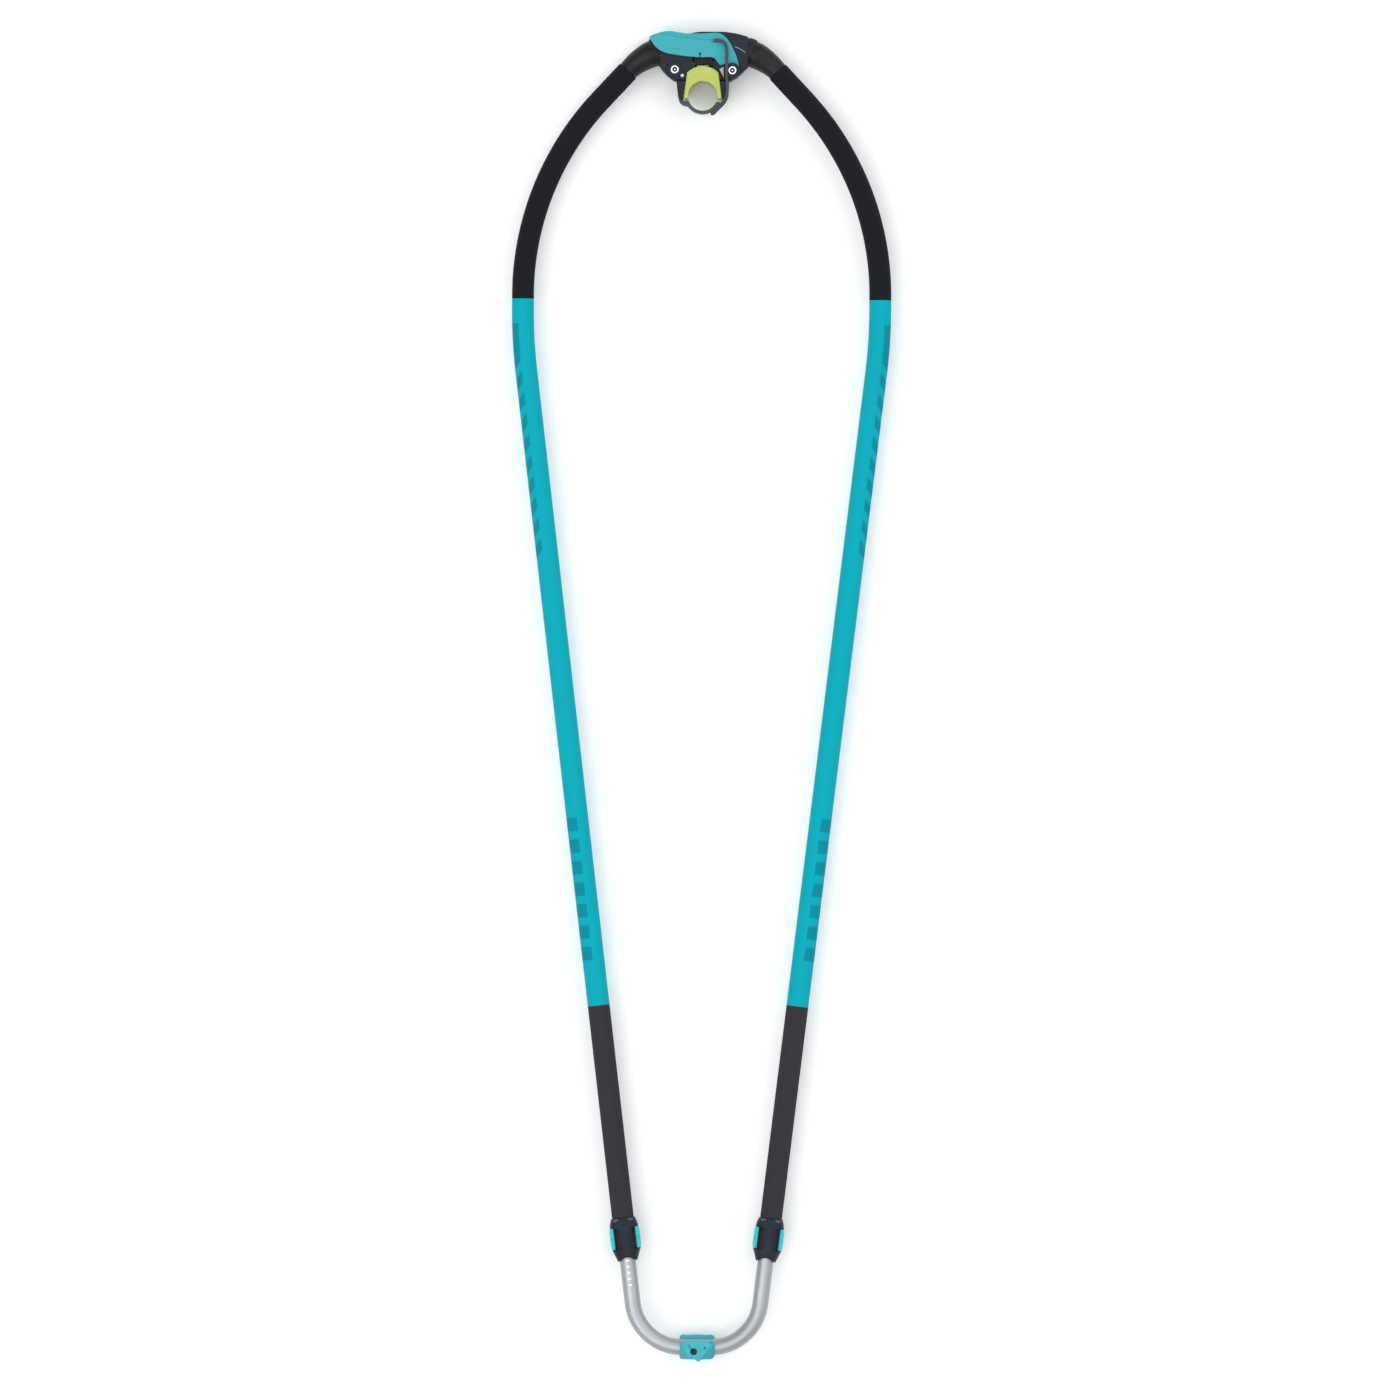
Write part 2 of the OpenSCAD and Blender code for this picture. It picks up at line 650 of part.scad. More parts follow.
outhaul_shell_lower();
outhaul_screw();
roller_left();
roller_right();
roller_pin();
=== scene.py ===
import math
import bpy
from mathutils import Matrix, Vector


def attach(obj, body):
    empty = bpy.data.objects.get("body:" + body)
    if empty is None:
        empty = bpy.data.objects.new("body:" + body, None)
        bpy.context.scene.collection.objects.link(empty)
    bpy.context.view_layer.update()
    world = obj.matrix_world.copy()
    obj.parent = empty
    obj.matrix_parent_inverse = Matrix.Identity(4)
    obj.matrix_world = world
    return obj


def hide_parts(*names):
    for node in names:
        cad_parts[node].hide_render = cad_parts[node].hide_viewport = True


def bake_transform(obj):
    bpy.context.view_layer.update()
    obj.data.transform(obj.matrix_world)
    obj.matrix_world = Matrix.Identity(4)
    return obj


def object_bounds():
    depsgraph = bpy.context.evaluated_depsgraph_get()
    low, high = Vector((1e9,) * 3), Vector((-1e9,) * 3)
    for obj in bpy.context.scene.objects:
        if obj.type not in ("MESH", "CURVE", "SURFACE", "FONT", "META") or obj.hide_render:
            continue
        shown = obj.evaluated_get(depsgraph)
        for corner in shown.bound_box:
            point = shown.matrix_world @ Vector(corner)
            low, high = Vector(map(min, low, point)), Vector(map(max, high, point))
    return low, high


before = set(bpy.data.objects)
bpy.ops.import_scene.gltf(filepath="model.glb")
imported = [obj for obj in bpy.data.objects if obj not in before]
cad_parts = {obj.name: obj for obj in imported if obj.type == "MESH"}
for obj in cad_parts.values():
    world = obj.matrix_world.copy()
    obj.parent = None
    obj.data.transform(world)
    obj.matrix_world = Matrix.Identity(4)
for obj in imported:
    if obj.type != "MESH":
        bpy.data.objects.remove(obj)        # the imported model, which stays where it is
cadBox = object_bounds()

mm = 0.001
print("frame loaded:", len(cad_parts), "parts")

# camera straight above the boom, turned by a touch
cameraSpot = {"x": 0.0006, "y": -0.9053, "height": 20.0, "turn": 0.293, "halfField": 1.05, "sensor": 36}
sides = ((1, "right"), (-1, "left"))
lens = bpy.data.cameras.new("topCamera")
lens.sensor_width = cameraSpot["sensor"]
lens.lens = cameraSpot["sensor"] / 2 * cameraSpot["height"] / cameraSpot["halfField"]
lens.clip_end = 50
camera = bpy.data.objects.new("topCamera", lens)
camera.location = (cameraSpot["x"], cameraSpot["y"], cameraSpot["height"])
camera.rotation_euler = (0, 0, math.radians(cameraSpot["turn"]))
bpy.context.scene.collection.objects.link(camera)
bpy.context.scene.camera = camera
bpy.context.scene.view_settings.view_transform = "Standard"      # plain colours
print("camera set")


# line of an arm: straight and bent stretches from the middle of the front, in mm and degrees turned inward
armLine = {"frontY": 72, "frontHalf": 34, "shoulderRadius": 106, "shoulderTurn": 47, "shoulderRun": 60,
           "sideRadius": 430, "sideRun": 20, "waistRadius": 800, "rearSlant": 6.8, "tailBendY": -1810,
           "tailRadius": 75}
gripEndY = {"front": -304.5, "middle": -1364, "rear": -1682}      # the locks begin where the rear grips end


def stepAlong(x, y, heading, length, turn):
    h = math.radians(heading)
    if turn == 0:
        return x + length * math.sin(h), y - length * math.cos(h), heading
    radius, h1 = length / math.radians(turn), h - math.radians(turn)
    return (x + radius * (math.cos(h1) - math.cos(h)), y + radius * (math.sin(h1) - math.sin(h)),
            heading - turn)


sideTurn = 90 - armLine["shoulderTurn"]
stretches = [(armLine["frontHalf"], 0),
             (armLine["shoulderRadius"] * math.radians(armLine["shoulderTurn"]), armLine["shoulderTurn"]),
             (armLine["shoulderRun"], 0),
             (armLine["sideRadius"] * math.radians(sideTurn), sideTurn),
             (armLine["sideRun"], 0),
             (armLine["waistRadius"] * math.radians(armLine["rearSlant"]), armLine["rearSlant"])]
spot = (0, armLine["frontY"], 90)
for length, turn in stretches:
    spot = stepAlong(*spot, length, turn)
waistRun, waistY = sum(length for length, turn in stretches), spot[1]
rearCos = math.cos(math.radians(armLine["rearSlant"]))
tailTurn = 90 - armLine["rearSlant"]
stretches.append(((waistY - armLine["tailBendY"]) / rearCos, 0))
stretches.append((armLine["tailRadius"] * math.radians(tailTurn), tailTurn))
gripRun = sum(length for length, turn in stretches[:2])
tailBendRun = sum(length for length, turn in stretches[:7])
tailEndRun = tailBendRun + stretches[7][0]


def rearRun(y):          # run along the arm at which its straight rear part is at y
    return waistRun + (waistY - y) / rearCos


def armPlace(run):
    x, y, heading = 0, armLine["frontY"], 90
    for i, (length, turn) in enumerate(stretches):
        if run <= length or i == len(stretches) - 1:
            return stepAlong(x, y, heading, run, turn * run / length)
        x, y, heading = stepAlong(x, y, heading, length, turn)
        run -= length


def armRing(run, radius, columns):      # ring round the arm; a negative run is on the left arm
    x, y, heading = armPlace(abs(run))
    side = -1 if run < 0 else 1
    c, s = math.cos(math.radians(heading)), math.sin(math.radians(heading))
    ring = []
    for j in range(columns):
        a = math.pi * (2 * j / columns - 1)
        out = radius * math.cos(a)
        ring.append(Vector((side * (x + out * c), y + out * s, radius * math.sin(a))) * mm)
    return ring


def stops(start, end, step):
    count = max(1, math.ceil(abs(end - start) / step))
    return [start + (end - start) * k / count for k in range(count + 1)]


# the light is stronger than a white floor needs, so that its shadows stay pale, and colours are held down
# by as much
exposure = 1.22


def linear(code, held=True):        # sRGB hex to the linear colour that shaders take
    parts = [int(code[i:i + 2], 16) / 255 for i in (1, 3, 5)]
    parts = [p / 12.92 if p <= 0.04045 else ((p + 0.055) / 1.055) ** 2.4 for p in parts]
    return [p / exposure if held else p for p in parts] + [1]


def deselect():
    if bpy.context.object and bpy.context.object.mode != "OBJECT":
        bpy.ops.object.mode_set(mode="OBJECT")
    bpy.ops.object.select_all(action="DESELECT")


def pick(piece):
    deselect()
    piece.select_set(True)
    bpy.context.view_layer.objects.active = piece


def editAll(piece):
    pick(piece)
    bpy.ops.object.mode_set(mode="EDIT")
    bpy.ops.mesh.select_all(action="SELECT")


def modify(piece, kind, **settings):
    pick(piece)
    modifier = piece.modifiers.new(kind.lower(), kind)
    for key, value in settings.items():
        setattr(modifier, key, value)
    bpy.ops.object.modifier_apply(modifier=modifier.name)
    return piece


def cut(piece, *tools, how="DIFFERENCE"):
    for tool in tools:
        modify(piece, "BOOLEAN", object=tool, operation=how, solver="EXACT")
        bpy.data.objects.remove(tool)
    return piece


def join(piece, *others):
    pick(piece)
    for other in others:
        other.select_set(True)
    bpy.ops.object.join()
    return piece


def addPrimitive(name, add, **settings):
    deselect()
    add(**settings)
    bpy.context.object.name = name
    bpy.ops.object.transform_apply(location=True, rotation=True, scale=True)
    return bpy.context.object


def addSkin(name, rings, runs, girth):      # a grid rolled into rings, its UV in metres round and along
    rows, columns = len(rings), len(rings[0])
    piece = addPrimitive(name, bpy.ops.mesh.primitive_grid_add, x_subdivisions=columns,
                         y_subdivisions=rows - 1, size=1)
    for vertex in piece.data.vertices:
        i = round((vertex.co.y + 0.5) * (rows - 1))
        j = round((vertex.co.x + 0.5) * columns) % columns
        vertex.co = rings[i][j]
    for corner in piece.data.uv_layers.active.data:
        i = round(corner.uv.y * (rows - 1))
        corner.uv = ((corner.uv.x - 0.5) * girth, runs[i])
    editAll(piece)
    bpy.ops.mesh.remove_doubles(threshold=0.000005)
    bpy.ops.mesh.normals_make_consistent(inside=False)
    deselect()
    return piece


def addArmTube(name, profile, columns=48):   # profile: (run, radius) points, back to the first one if closed
    rings = [armRing(run, radius, columns) for run, radius in profile]
    girth = 2 * math.pi * max(radius for run, radius in profile) * mm
    return addSkin(name, rings, [run * mm for run, radius in profile], girth)


def softOutline(points, trim, steps=4):      # rounds each corner of an outline
    soft = []
    for before, corner, after in zip(points[-1:] + points[:-1], points, points[1:] + points[:1]):
        p, q, r = Vector(before), Vector(corner), Vector(after)
        start = q + (p - q).normalized() * min(trim, (p - q).length * 0.48)
        end = q + (r - q).normalized() * min(trim, (r - q).length * 0.48)
        for k in range(steps + 1):
            t = k / steps
            soft.append(start.lerp(q, t).lerp(q.lerp(end, t), t))
    return soft


def arcPoints(x, y, radius, start, end, count):
    angles = [math.radians(start + (end - start) * k / count) for k in range(count + 1)]
    return [(x + radius * math.cos(a), y + radius * math.sin(a)) for a in angles]


def addPlate(name, outline, low, high):      # an outline seen from above, extruded upwards
    piece = addPrimitive(name, bpy.ops.mesh.primitive_circle_add, vertices=len(outline), radius=1,
                         fill_type="NGON")
    for vertex, point in zip(piece.data.vertices, outline):
        vertex.co = Vector((point[0], point[1], low)) * mm
    editAll(piece)
    bpy.ops.mesh.extrude_region_move(TRANSFORM_OT_translate={"value": (0, 0, (high - low) * mm)})
    bpy.ops.mesh.select_all(action="SELECT")
    bpy.ops.mesh.normals_make_consistent(inside=False)
    deselect()
    return piece


def addDisc(name, x, y, low, high, radius, vertices=64, turn=0):
    return addPrimitive(name, bpy.ops.mesh.primitive_cylinder_add, vertices=vertices, radius=radius * mm,
                        depth=(high - low) * mm, location=(x * mm, y * mm, (low + high) / 2 * mm),
                        rotation=(0, 0, math.radians(turn)))


def addBlock(name, low, high):
    return addPrimitive(name, bpy.ops.mesh.primitive_cube_add, size=1,
                        location=[(a + b) / 2 * mm for a, b in zip(low, high)],
                        scale=[(b - a) * mm for a, b in zip(low, high)])


def selectAt(piece, kind, level):            # edit mode, with the edges or faces at one height selected
    pick(piece)
    bpy.ops.object.mode_set(mode="EDIT")
    bpy.ops.mesh.select_mode(type=kind)
    bpy.ops.mesh.select_all(action="DESELECT")
    bpy.ops.object.mode_set(mode="OBJECT")
    mesh = piece.data
    for item in mesh.edges if kind == "EDGE" else mesh.polygons:
        item.select = all(abs(mesh.vertices[v].co.z - level * mm) < 1e-6 for v in item.vertices)
    bpy.ops.object.mode_set(mode="EDIT")


def bevelRim(piece, level, width, segments=3):      # rounds the edges that lie at one height
    selectAt(piece, "EDGE", level)
    bpy.ops.mesh.bevel(offset=width * mm, segments=segments, affect="EDGES")
    deselect()
    return piece


def bevelRims(piece, half, width, segments=3):      # the same at both ends of a piece
    for level in (half, -half):
        bevelRim(piece, level, width, segments)


def insetFace(piece, level, width, depth):          # sinks the top face at one height inside a rim
    selectAt(piece, "FACE", level)
    bpy.ops.mesh.inset(thickness=width * mm, depth=0)
    bpy.ops.transform.translate(value=(0, 0, -depth * mm))
    deselect()
    return piece


def planeCut(piece, point, normal, second=False):   # takes off what is on the normal's side of a plane
    point = Vector(point) * mm
    editAll(piece)
    bpy.ops.mesh.bisect(plane_co=point, plane_no=normal, clear_outer=True, use_fill=True)
    deselect()
    if second:                                      # the new face takes the second material
        normal = Vector(normal).normalized()
        while len(piece.data.materials) < 2:
            piece.data.materials.append(None)
        for face in piece.data.polygons:
            if face.normal.dot(normal) > 0.999 and abs((face.center - point).dot(normal)) < 0.00002:
                face.material_index = 1
    return piece


def copyPiece(piece, name, matrix):
    twin = bpy.data.objects.new(name, piece.data.copy())
    bpy.context.scene.collection.objects.link(twin)
    twin.data.transform(matrix)
    if matrix.determinant() < 0:
        editAll(twin)
        bpy.ops.mesh.flip_normals()
        deselect()
    return twin


def finish(piece, body, nodes, slot, *materials, angle=35, weighted=True):
    pick(piece)
    bpy.ops.object.shade_smooth_by_angle(angle=math.radians(angle))
    if weighted:
        modify(piece, "WEIGHTED_NORMAL", keep_sharp=True)
    for place, material in enumerate(materials):
        if place < len(piece.data.materials):
            piece.data.materials[place] = material
        else:
            piece.data.materials.append(material)
    if body:
        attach(piece, body)
    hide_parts(*nodes)
    deselect()
    return piece


def placed(at, angle, axis):        # a turn in degrees about an axis, then a move in mm
    return Matrix.Translation(Vector(at) * mm) @ Matrix.Rotation(math.radians(angle), 4, axis)


flipX = Matrix.Scale(-1, 4, (1, 0, 0))
flipZ = Matrix.Scale(-1, 4, (0, 0, 1))
lockX, lockY, lockHeading = armPlace(rearRun(gripEndY["rear"]))
lockMatrix = placed((lockX, lockY, 0), lockHeading, "Z")


# materials
def setInputs(node, inputs):         # each input takes the output of another node, or a plain value
    for key, value in inputs.items():
        if isinstance(value, bpy.types.NodeSocket):
            node.id_data.links.new(value, node.inputs[key])
        else:
            node.inputs[key].default_value = value


def addNode(tree, kind, inputs=None, out=0, **settings):        # gives one output of a new node
    node = tree.nodes.new("ShaderNode" + kind)
    for key, value in settings.items():
        setattr(node, key, value)
    setInputs(node, inputs or {})
    return node.outputs[out]


noiseRange = {"From Min": 0.3, "From Max": 0.7}      # where most of a noise's values lie


def startMaterial(name, look):
    material = bpy.data.materials.new(name)
    material.use_nodes = True
    tree = material.node_tree
    shader = tree.nodes["Principled BSDF"]
    setInputs(shader, {"Metallic": look.get("metallic", 0), "Specular IOR Level": look.get("gloss", 0.5)})
    material.diffuse_color = linear(look["colour"])
    return material, tree, shader


def grained(name, **look):
    # moulded, cast or turned surface: a fine grain in colour, sheen and height, and wide soft patches of wear
    material, tree, shader = startMaterial(name, look)
    where = addNode(tree, "TexCoord", out="Object")
    grain = addNode(tree, "TexNoise", {"Vector": where, "Scale": 1 / (look["grain"] * mm), "Detail": 4.0,
                                       "Roughness": 0.6})
    patch = addNode(tree, "TexNoise", {"Vector": where, "Scale": 1 / (look["patch"] * mm), "Detail": 5.0,
                                       "Roughness": 0.65})
    shade = addNode(tree, "ValToRGB", {"Fac": patch})
    for element, position, colour in zip(shade.node.color_ramp.elements, (0.35, 0.7), ("colour", "worn")):
        element.position, element.color = position, linear(look[colour])
    fleck = addNode(tree, "MapRange", {"Value": grain, **noiseRange,
                                       "To Min": 1 - look["fleck"], "To Max": 1 + look["fleck"]})
    tint = addNode(tree, "VectorMath", {0: shade, "Scale": fleck}, operation="SCALE")
    rough = addNode(tree, "MapRange", {"Value": patch, **noiseRange,
                                       "To Min": look["rough"][0], "To Max": look["rough"][1]})
    bump = addNode(tree, "Bump", {"Height": grain, "Strength": look["bump"],
                                  "Distance": look["grain"] * mm * 0.3})
    setInputs(shader, {"Base Color": tint, "Roughness": rough, "Normal": bump})
    return material


# glass-filled nylon, moulded: slate black, dull, with a faint speckle where the fibre shows; on the buttons'
# inner skirts the same slate is painted shade
headNylon = grained("glassFilledNylonSlateAndSkirtShade", colour="#141b26", worn="#1e2734", grain=0.9, patch=22,
                    fleck=0.22, rough=(0.45, 0.6), bump=0.4, gloss=0.22)
# the same nylon, paler and smoother: a painted highlight, put on the cut corners of the lock housings
highlightNylon = grained("glassFilledNylonPaintedHighlight", colour="#414852", worn="#5a626d", grain=0.9, patch=9,
                    fleck=0.2, rough=(0.32, 0.48), bump=0.25, gloss=0.5)
# dyed glass-filled nylon, moulded: even teal with a soft satin sheen
leverNylon = grained("dyedNylonTeal", colour="#0f9da8", worn="#1aa8b2", grain=0.8, patch=30, fleck=0.05,
                     rough=(0.34, 0.46), bump=0.3, gloss=0.45)
# thermoplastic polyurethane, moulded: pale lime and slightly waxy
cupRubber = grained("polyurethaneLime", colour="#b4bd58", worn="#bec765", grain=1.1, patch=16, fleck=0.05,
                    rough=(0.45, 0.6), bump=0.3, gloss=0.4)
# soft black rubber, moulded: takes light only at its edges
blackRubber = grained("rubberBlack", colour="#131417", worn="#1c1e22", grain=0.7, patch=12, fleck=0.15,
                      rough=(0.6, 0.75), bump=0.4, gloss=0.3)
# rubberised strap, moulded: blue grey with scuffed patches
strapRubber = grained("strapRubberGrey", colour="#343b45", worn="#4a525d", grain=0.8, patch=10, fleck=0.14,
                      rough=(0.42, 0.6), bump=0.4, gloss=0.45)
# acetal, turned: off white and smooth
acetal = grained("acetalWhite", colour="#e2e4e4", worn="#eceeee", grain=0.5, patch=8, fleck=0.02,
                 rough=(0.3, 0.4), bump=0.1)
# grey acetal, moulded: the guide's pale satin face; the same pale grey makes the painted highlight bead on
# the head's shoulder
guideAcetalAndHighlight = grained("acetalGreyAndHighlight", colour="#98a1ab", worn="#a9b1ba", grain=0.7, patch=9, fleck=0.07,
                      rough=(0.35, 0.5), bump=0.25)
# stainless steel, turned and polished: bright ring heads
steel = grained("stainlessSteel", colour="#dcdfe2", worn="#eceef0", grain=0.4, patch=5, fleck=0.05,
                rough=(0.18, 0.32), bump=0.08, metallic=1)
# blackened steel on the tail's screw; inside the ring screws' sockets the same dark is painted shade
darkSteelAndSocketShade = grained("blackOxideSteelAndSocketShade", colour="#17181b", worn="#26282c", grain=0.4, patch=5, fleck=0.12,
                    rough=(0.3, 0.45), bump=0.1, metallic=0.6)
# hard-anodised aluminium tube inside the grips: dark grey and dull
armAlloy = grained("hardAnodisedAluminium", colour="#3a3d42", worn="#474b51", grain=0.6, patch=30,
                   fleck=0.06, rough=(0.4, 0.5), bump=0.08, metallic=0.8)
# dyed nylon of the lock buttons: bright cyan
buttonNylon = grained("dyedNylonCyan", colour="#0cc4cf", worn="#22d2da", grain=0.7, patch=8, fleck=0.05,
                      rough=(0.4, 0.55), bump=0.3, gloss=0.4)
# dyed nylon of the outhaul fitting: a paler teal
fittingNylon = grained("dyedNylonPaleTeal", colour="#1ea6b3", worn="#2bb3c0", grain=0.8, patch=14,
                       fleck=0.05, rough=(0.36, 0.5), bump=0.3, gloss=0.4)
# the same plastic, smoother and painted a deeper teal: painted shade on the fitting's slanted facets
fittingShade = grained("dyedNylonPaintedShadeTeal", colour="#1795a3", worn="#1c9eab", grain=0.8, patch=14,
                       fleck=0.03, rough=(0.3, 0.42), bump=0.15, gloss=0.4)
# painted aluminium front tube: black, smooth, with a slight ripple in the lacquer
frontPaint = grained("lacqueredAluminiumBlack", colour="#0d0e10", worn="#121316", grain=1.6, patch=60,
                     fleck=0.1, rough=(0.36, 0.46), bump=0.12, gloss=0.25)


def foam(name, **look):
    # closed-cell foam sleeve: cells a millimetre and a half across, twice as coarse as real so that they show
    material, tree, shader = startMaterial(name, look)
    where = addNode(tree, "TexCoord").node.outputs
    cells = addNode(tree, "TexVoronoi", {"Vector": where["Object"], "Scale": 1 / (look["cell"] * mm)})
    haze = addNode(tree, "TexNoise", {"Vector": where["Object"], "Scale": 1 / (look["patch"] * mm),
                                      "Detail": 4.0})
    colour = printedColour(tree, where["UV"], look) if "mark" in look else linear(look["colour"])[:3]
    shade = addNode(tree, "MapRange", {"Value": haze, **noiseRange,
                                       "To Min": 1 - look["fleck"], "To Max": 1 + look["fleck"]})
    pit = addNode(tree, "MapRange", {"Value": cells, "From Max": 0.7,
                                     "To Min": 1 + look["fleck"], "To Max": 1 - look["fleck"]})
    both = addNode(tree, "Math", {0: shade, 1: pit}, operation="MULTIPLY")
    tint = addNode(tree, "VectorMath", {0: colour, "Scale": both}, operation="SCALE")
    bump = addNode(tree, "Bump", {"Height": cells, "Strength": look["bump"],
                                  "Distance": 0.0003})
    rough = addNode(tree, "MapRange", {"Value": haze, "To Min": 0.72, "To Max": 0.9})
    setInputs(shader, {"Base Color": tint, "Roughness": rough, "Normal": bump})
    return material


# tone-on-tone print on the middle grips, in mm: run along the arm, and reach round it from the outer side
gripPrint = {"blockFrom": 546, "blockTo": 603, "barsTo": 897, "barPitch": 31.6, "barShare": 0.55,
             "barLean": 0.9, "frontReach": 19,
             "rowFrom": 1292, "rowTo": 1518, "rowPitch": 32.4, "rowShare": 0.62, "rowReach": 25}


def printedColour(tree, uv, look):
    mark = look["mark"]
    parts = addNode(tree, "SeparateXYZ", {0: uv}).node.outputs
    reach = addNode(tree, "Math", {0: parts["X"]}, operation="ABSOLUTE")
    run = parts["Y"]

    def within(value, low, high):
        above = addNode(tree, "Math", {0: value, 1: low}, operation="GREATER_THAN")
        below = addNode(tree, "Math", {0: value, 1: high}, operation="LESS_THAN")
        return addNode(tree, "Math", {0: above, 1: below}, operation="MULTIPLY")

    def bars(start, pitch, share, lean):
        # slanted bars: the run is shifted by the reach before it is cut into pitches
        slant = addNode(tree, "Math", {0: reach, 1: lean, 2: run}, operation="MULTIPLY_ADD")
        count = addNode(tree, "Math", {0: slant, 1: -start * mm}, operation="ADD")
        turns = addNode(tree, "Math", {0: count, 1: pitch * mm}, operation="DIVIDE")
        rest = addNode(tree, "Math", {0: turns}, operation="FRACT")
        return addNode(tree, "Math", {0: rest, 1: share}, operation="LESS_THAN")

    block = within(run, mark["blockFrom"] * mm, mark["blockTo"] * mm)
    front = within(run, mark["blockTo"] * mm, mark["barsTo"] * mm)
    leaning = addNode(tree, "Math", {0: front, 1: bars(mark["blockTo"], mark["barPitch"], mark["barShare"],
                                                       mark["barLean"])}, operation="MULTIPLY")
    frontMark = addNode(tree, "Math", {0: block, 1: leaning}, operation="ADD")
    frontBand = addNode(tree, "Math", {0: reach, 1: mark["frontReach"] * mm}, operation="LESS_THAN")
    frontMark = addNode(tree, "Math", {0: frontMark, 1: frontBand}, operation="MULTIPLY")
    row = addNode(tree, "Math", {0: within(run, mark["rowFrom"] * mm, mark["rowTo"] * mm),
                                 1: bars(mark["rowFrom"], mark["rowPitch"], mark["rowShare"], 0.0)},
                  operation="MULTIPLY")
    rowBand = addNode(tree, "Math", {0: reach, 1: mark["rowReach"] * mm}, operation="LESS_THAN")
    row = addNode(tree, "Math", {0: row, 1: rowBand}, operation="MULTIPLY")
    both = addNode(tree, "Math", {0: frontMark, 1: row}, operation="ADD", use_clamp=True)
    return addNode(tree, "Mix", {"Factor": both, 6: linear(look["colour"]), 7: linear(look["ink"])},
                   out=2, data_type="RGBA")


# closed-cell EVA foam sleeves: matt, each dyed through
frontFoam = foam("evaFoamBlack", colour="#15161b", cell=1.5, patch=35, fleck=0.08, bump=0.5, gloss=0.15)
middleFoam = foam("evaFoamTeal", colour="#00a8b8", ink="#008b9e", mark=gripPrint, cell=1.5, patch=60,
                  fleck=0.025, bump=0.35, gloss=0.12)
rearFoam = foam("evaFoamCharcoal", colour="#343238", cell=1.5, patch=35, fleck=0.06, bump=0.5, gloss=0.15)


def drawnAlloy(name, **look):
    # anodised aluminium tube: fine lines along it from drawing, under a satin skin
    material, tree, shader = startMaterial(name, look)
    uv = addNode(tree, "TexCoord", out="UV")
    stretched = addNode(tree, "Mapping", {"Vector": uv, "Scale": (1 / (look["line"] * mm),
                                                                  1 / (look["lineRun"] * mm), 1)})
    lines = addNode(tree, "TexNoise", {"Vector": stretched, "Scale": 1.0, "Detail": 3.0})
    cloud = addNode(tree, "TexNoise", {"Vector": uv, "Scale": 40.0, "Detail": 4.0})
    colour = addNode(tree, "Mix", {"Factor": lines, 6: linear(look["colour"]), 7: linear(look["pale"])},
                     out=2, data_type="RGBA")
    rough = addNode(tree, "MapRange", {"Value": cloud, **noiseRange,
                                       "To Min": look["rough"][0], "To Max": look["rough"][1]})
    bump = addNode(tree, "Bump", {"Height": lines, "Strength": 0.12, "Distance": 0.0001})
    if "ticks" in look:                         # a row of pale length marks on the top of the tube
        mark = look["ticks"]
        parts = addNode(tree, "SeparateXYZ", {0: uv}).node.outputs
        across = addNode(tree, "Math", {0: parts["X"], 1: mark["reach"] * mm,
                                        2: mark["half"] * mm}, operation="COMPARE")
        inRow = addNode(tree, "Math", {0: parts["Y"], 1: mark["middle"] * mm,
                                       2: mark["length"] / 2 * mm}, operation="COMPARE")
        turns = addNode(tree, "Math", {0: parts["Y"], 1: mark["pitch"] * mm}, operation="DIVIDE")
        rest = addNode(tree, "Math", {0: turns}, operation="FRACT")
        tick = addNode(tree, "Math", {0: rest, 1: mark["share"]}, operation="LESS_THAN")
        where = addNode(tree, "Math", {0: across, 1: inRow}, operation="MULTIPLY")
        marked = addNode(tree, "Math", {0: where, 1: tick}, operation="MULTIPLY")
        colour = addNode(tree, "Mix", {"Factor": marked, 6: colour, 7: linear(mark["ink"])},
                         out=2, data_type="RGBA")
    setInputs(shader, {"Base Color": colour, "Roughness": rough, "Normal": bump})
    return material


# satin anodised aluminium: cool silver with faint lines along the tube
tailLook = {"colour": "#a9adb1", "pale": "#b6babd", "line": 1.2, "lineRun": 60, "rough": (0.4, 0.5),
            "metallic": 0.9}
tailAlloy = drawnAlloy("satinAnodisedAluminium", **tailLook)
# the same on the left leg, with pale length marks just behind the lock
legMarks = {"reach": 18.8, "half": 2.4, "middle": rearRun(-1766), "length": 46, "pitch": 9.2,
            "share": 0.26, "ink": "#dfe4e6"}
legAlloy = drawnAlloy("satinAnodisedAluminiumMarked", **tailLook, ticks=legMarks)


def braid(name, **look):
    # braided polyester sheath: dark strands with paler flecks where they cross
    material, tree, shader = startMaterial(name, look)
    uv = addNode(tree, "TexCoord", out="UV")
    parts = addNode(tree, "SeparateXYZ", {0: uv}).node.outputs
    girth, run = parts["X"], parts["Y"]
    waves = []
    for lean in (1, -1):
        slant = addNode(tree, "Math", {0: run, 1: float(lean), 2: girth}, operation="MULTIPLY_ADD")
        phase = addNode(tree, "Math", {0: slant, 1: 2 * math.pi / (look["strand"] * mm)},
                        operation="MULTIPLY")
        waves.append(addNode(tree, "Math", {0: phase}, operation="SINE"))
    height = addNode(tree, "Math", {0: waves[0], 1: waves[1]}, operation="MULTIPLY")
    fibre = addNode(tree, "TexNoise", {"Vector": uv, "Scale": 1 / (0.35 * mm), "Detail": 2.0})
    fleck = addNode(tree, "Math", {0: height, 1: fibre}, operation="MULTIPLY")
    share = addNode(tree, "MapRange", {"Value": fleck, "From Min": 0.1, "From Max": 0.4})
    shade = addNode(tree, "Mix", {"Factor": share, 6: linear(look["colour"]), 7: linear(look["pale"])},
                    out=2, data_type="RGBA")
    bump = addNode(tree, "Bump", {"Height": fibre, "Strength": 0.5, "Distance": 0.0002})
    setInputs(shader, {"Base Color": shade, "Roughness": 0.65, "Normal": bump})
    return material


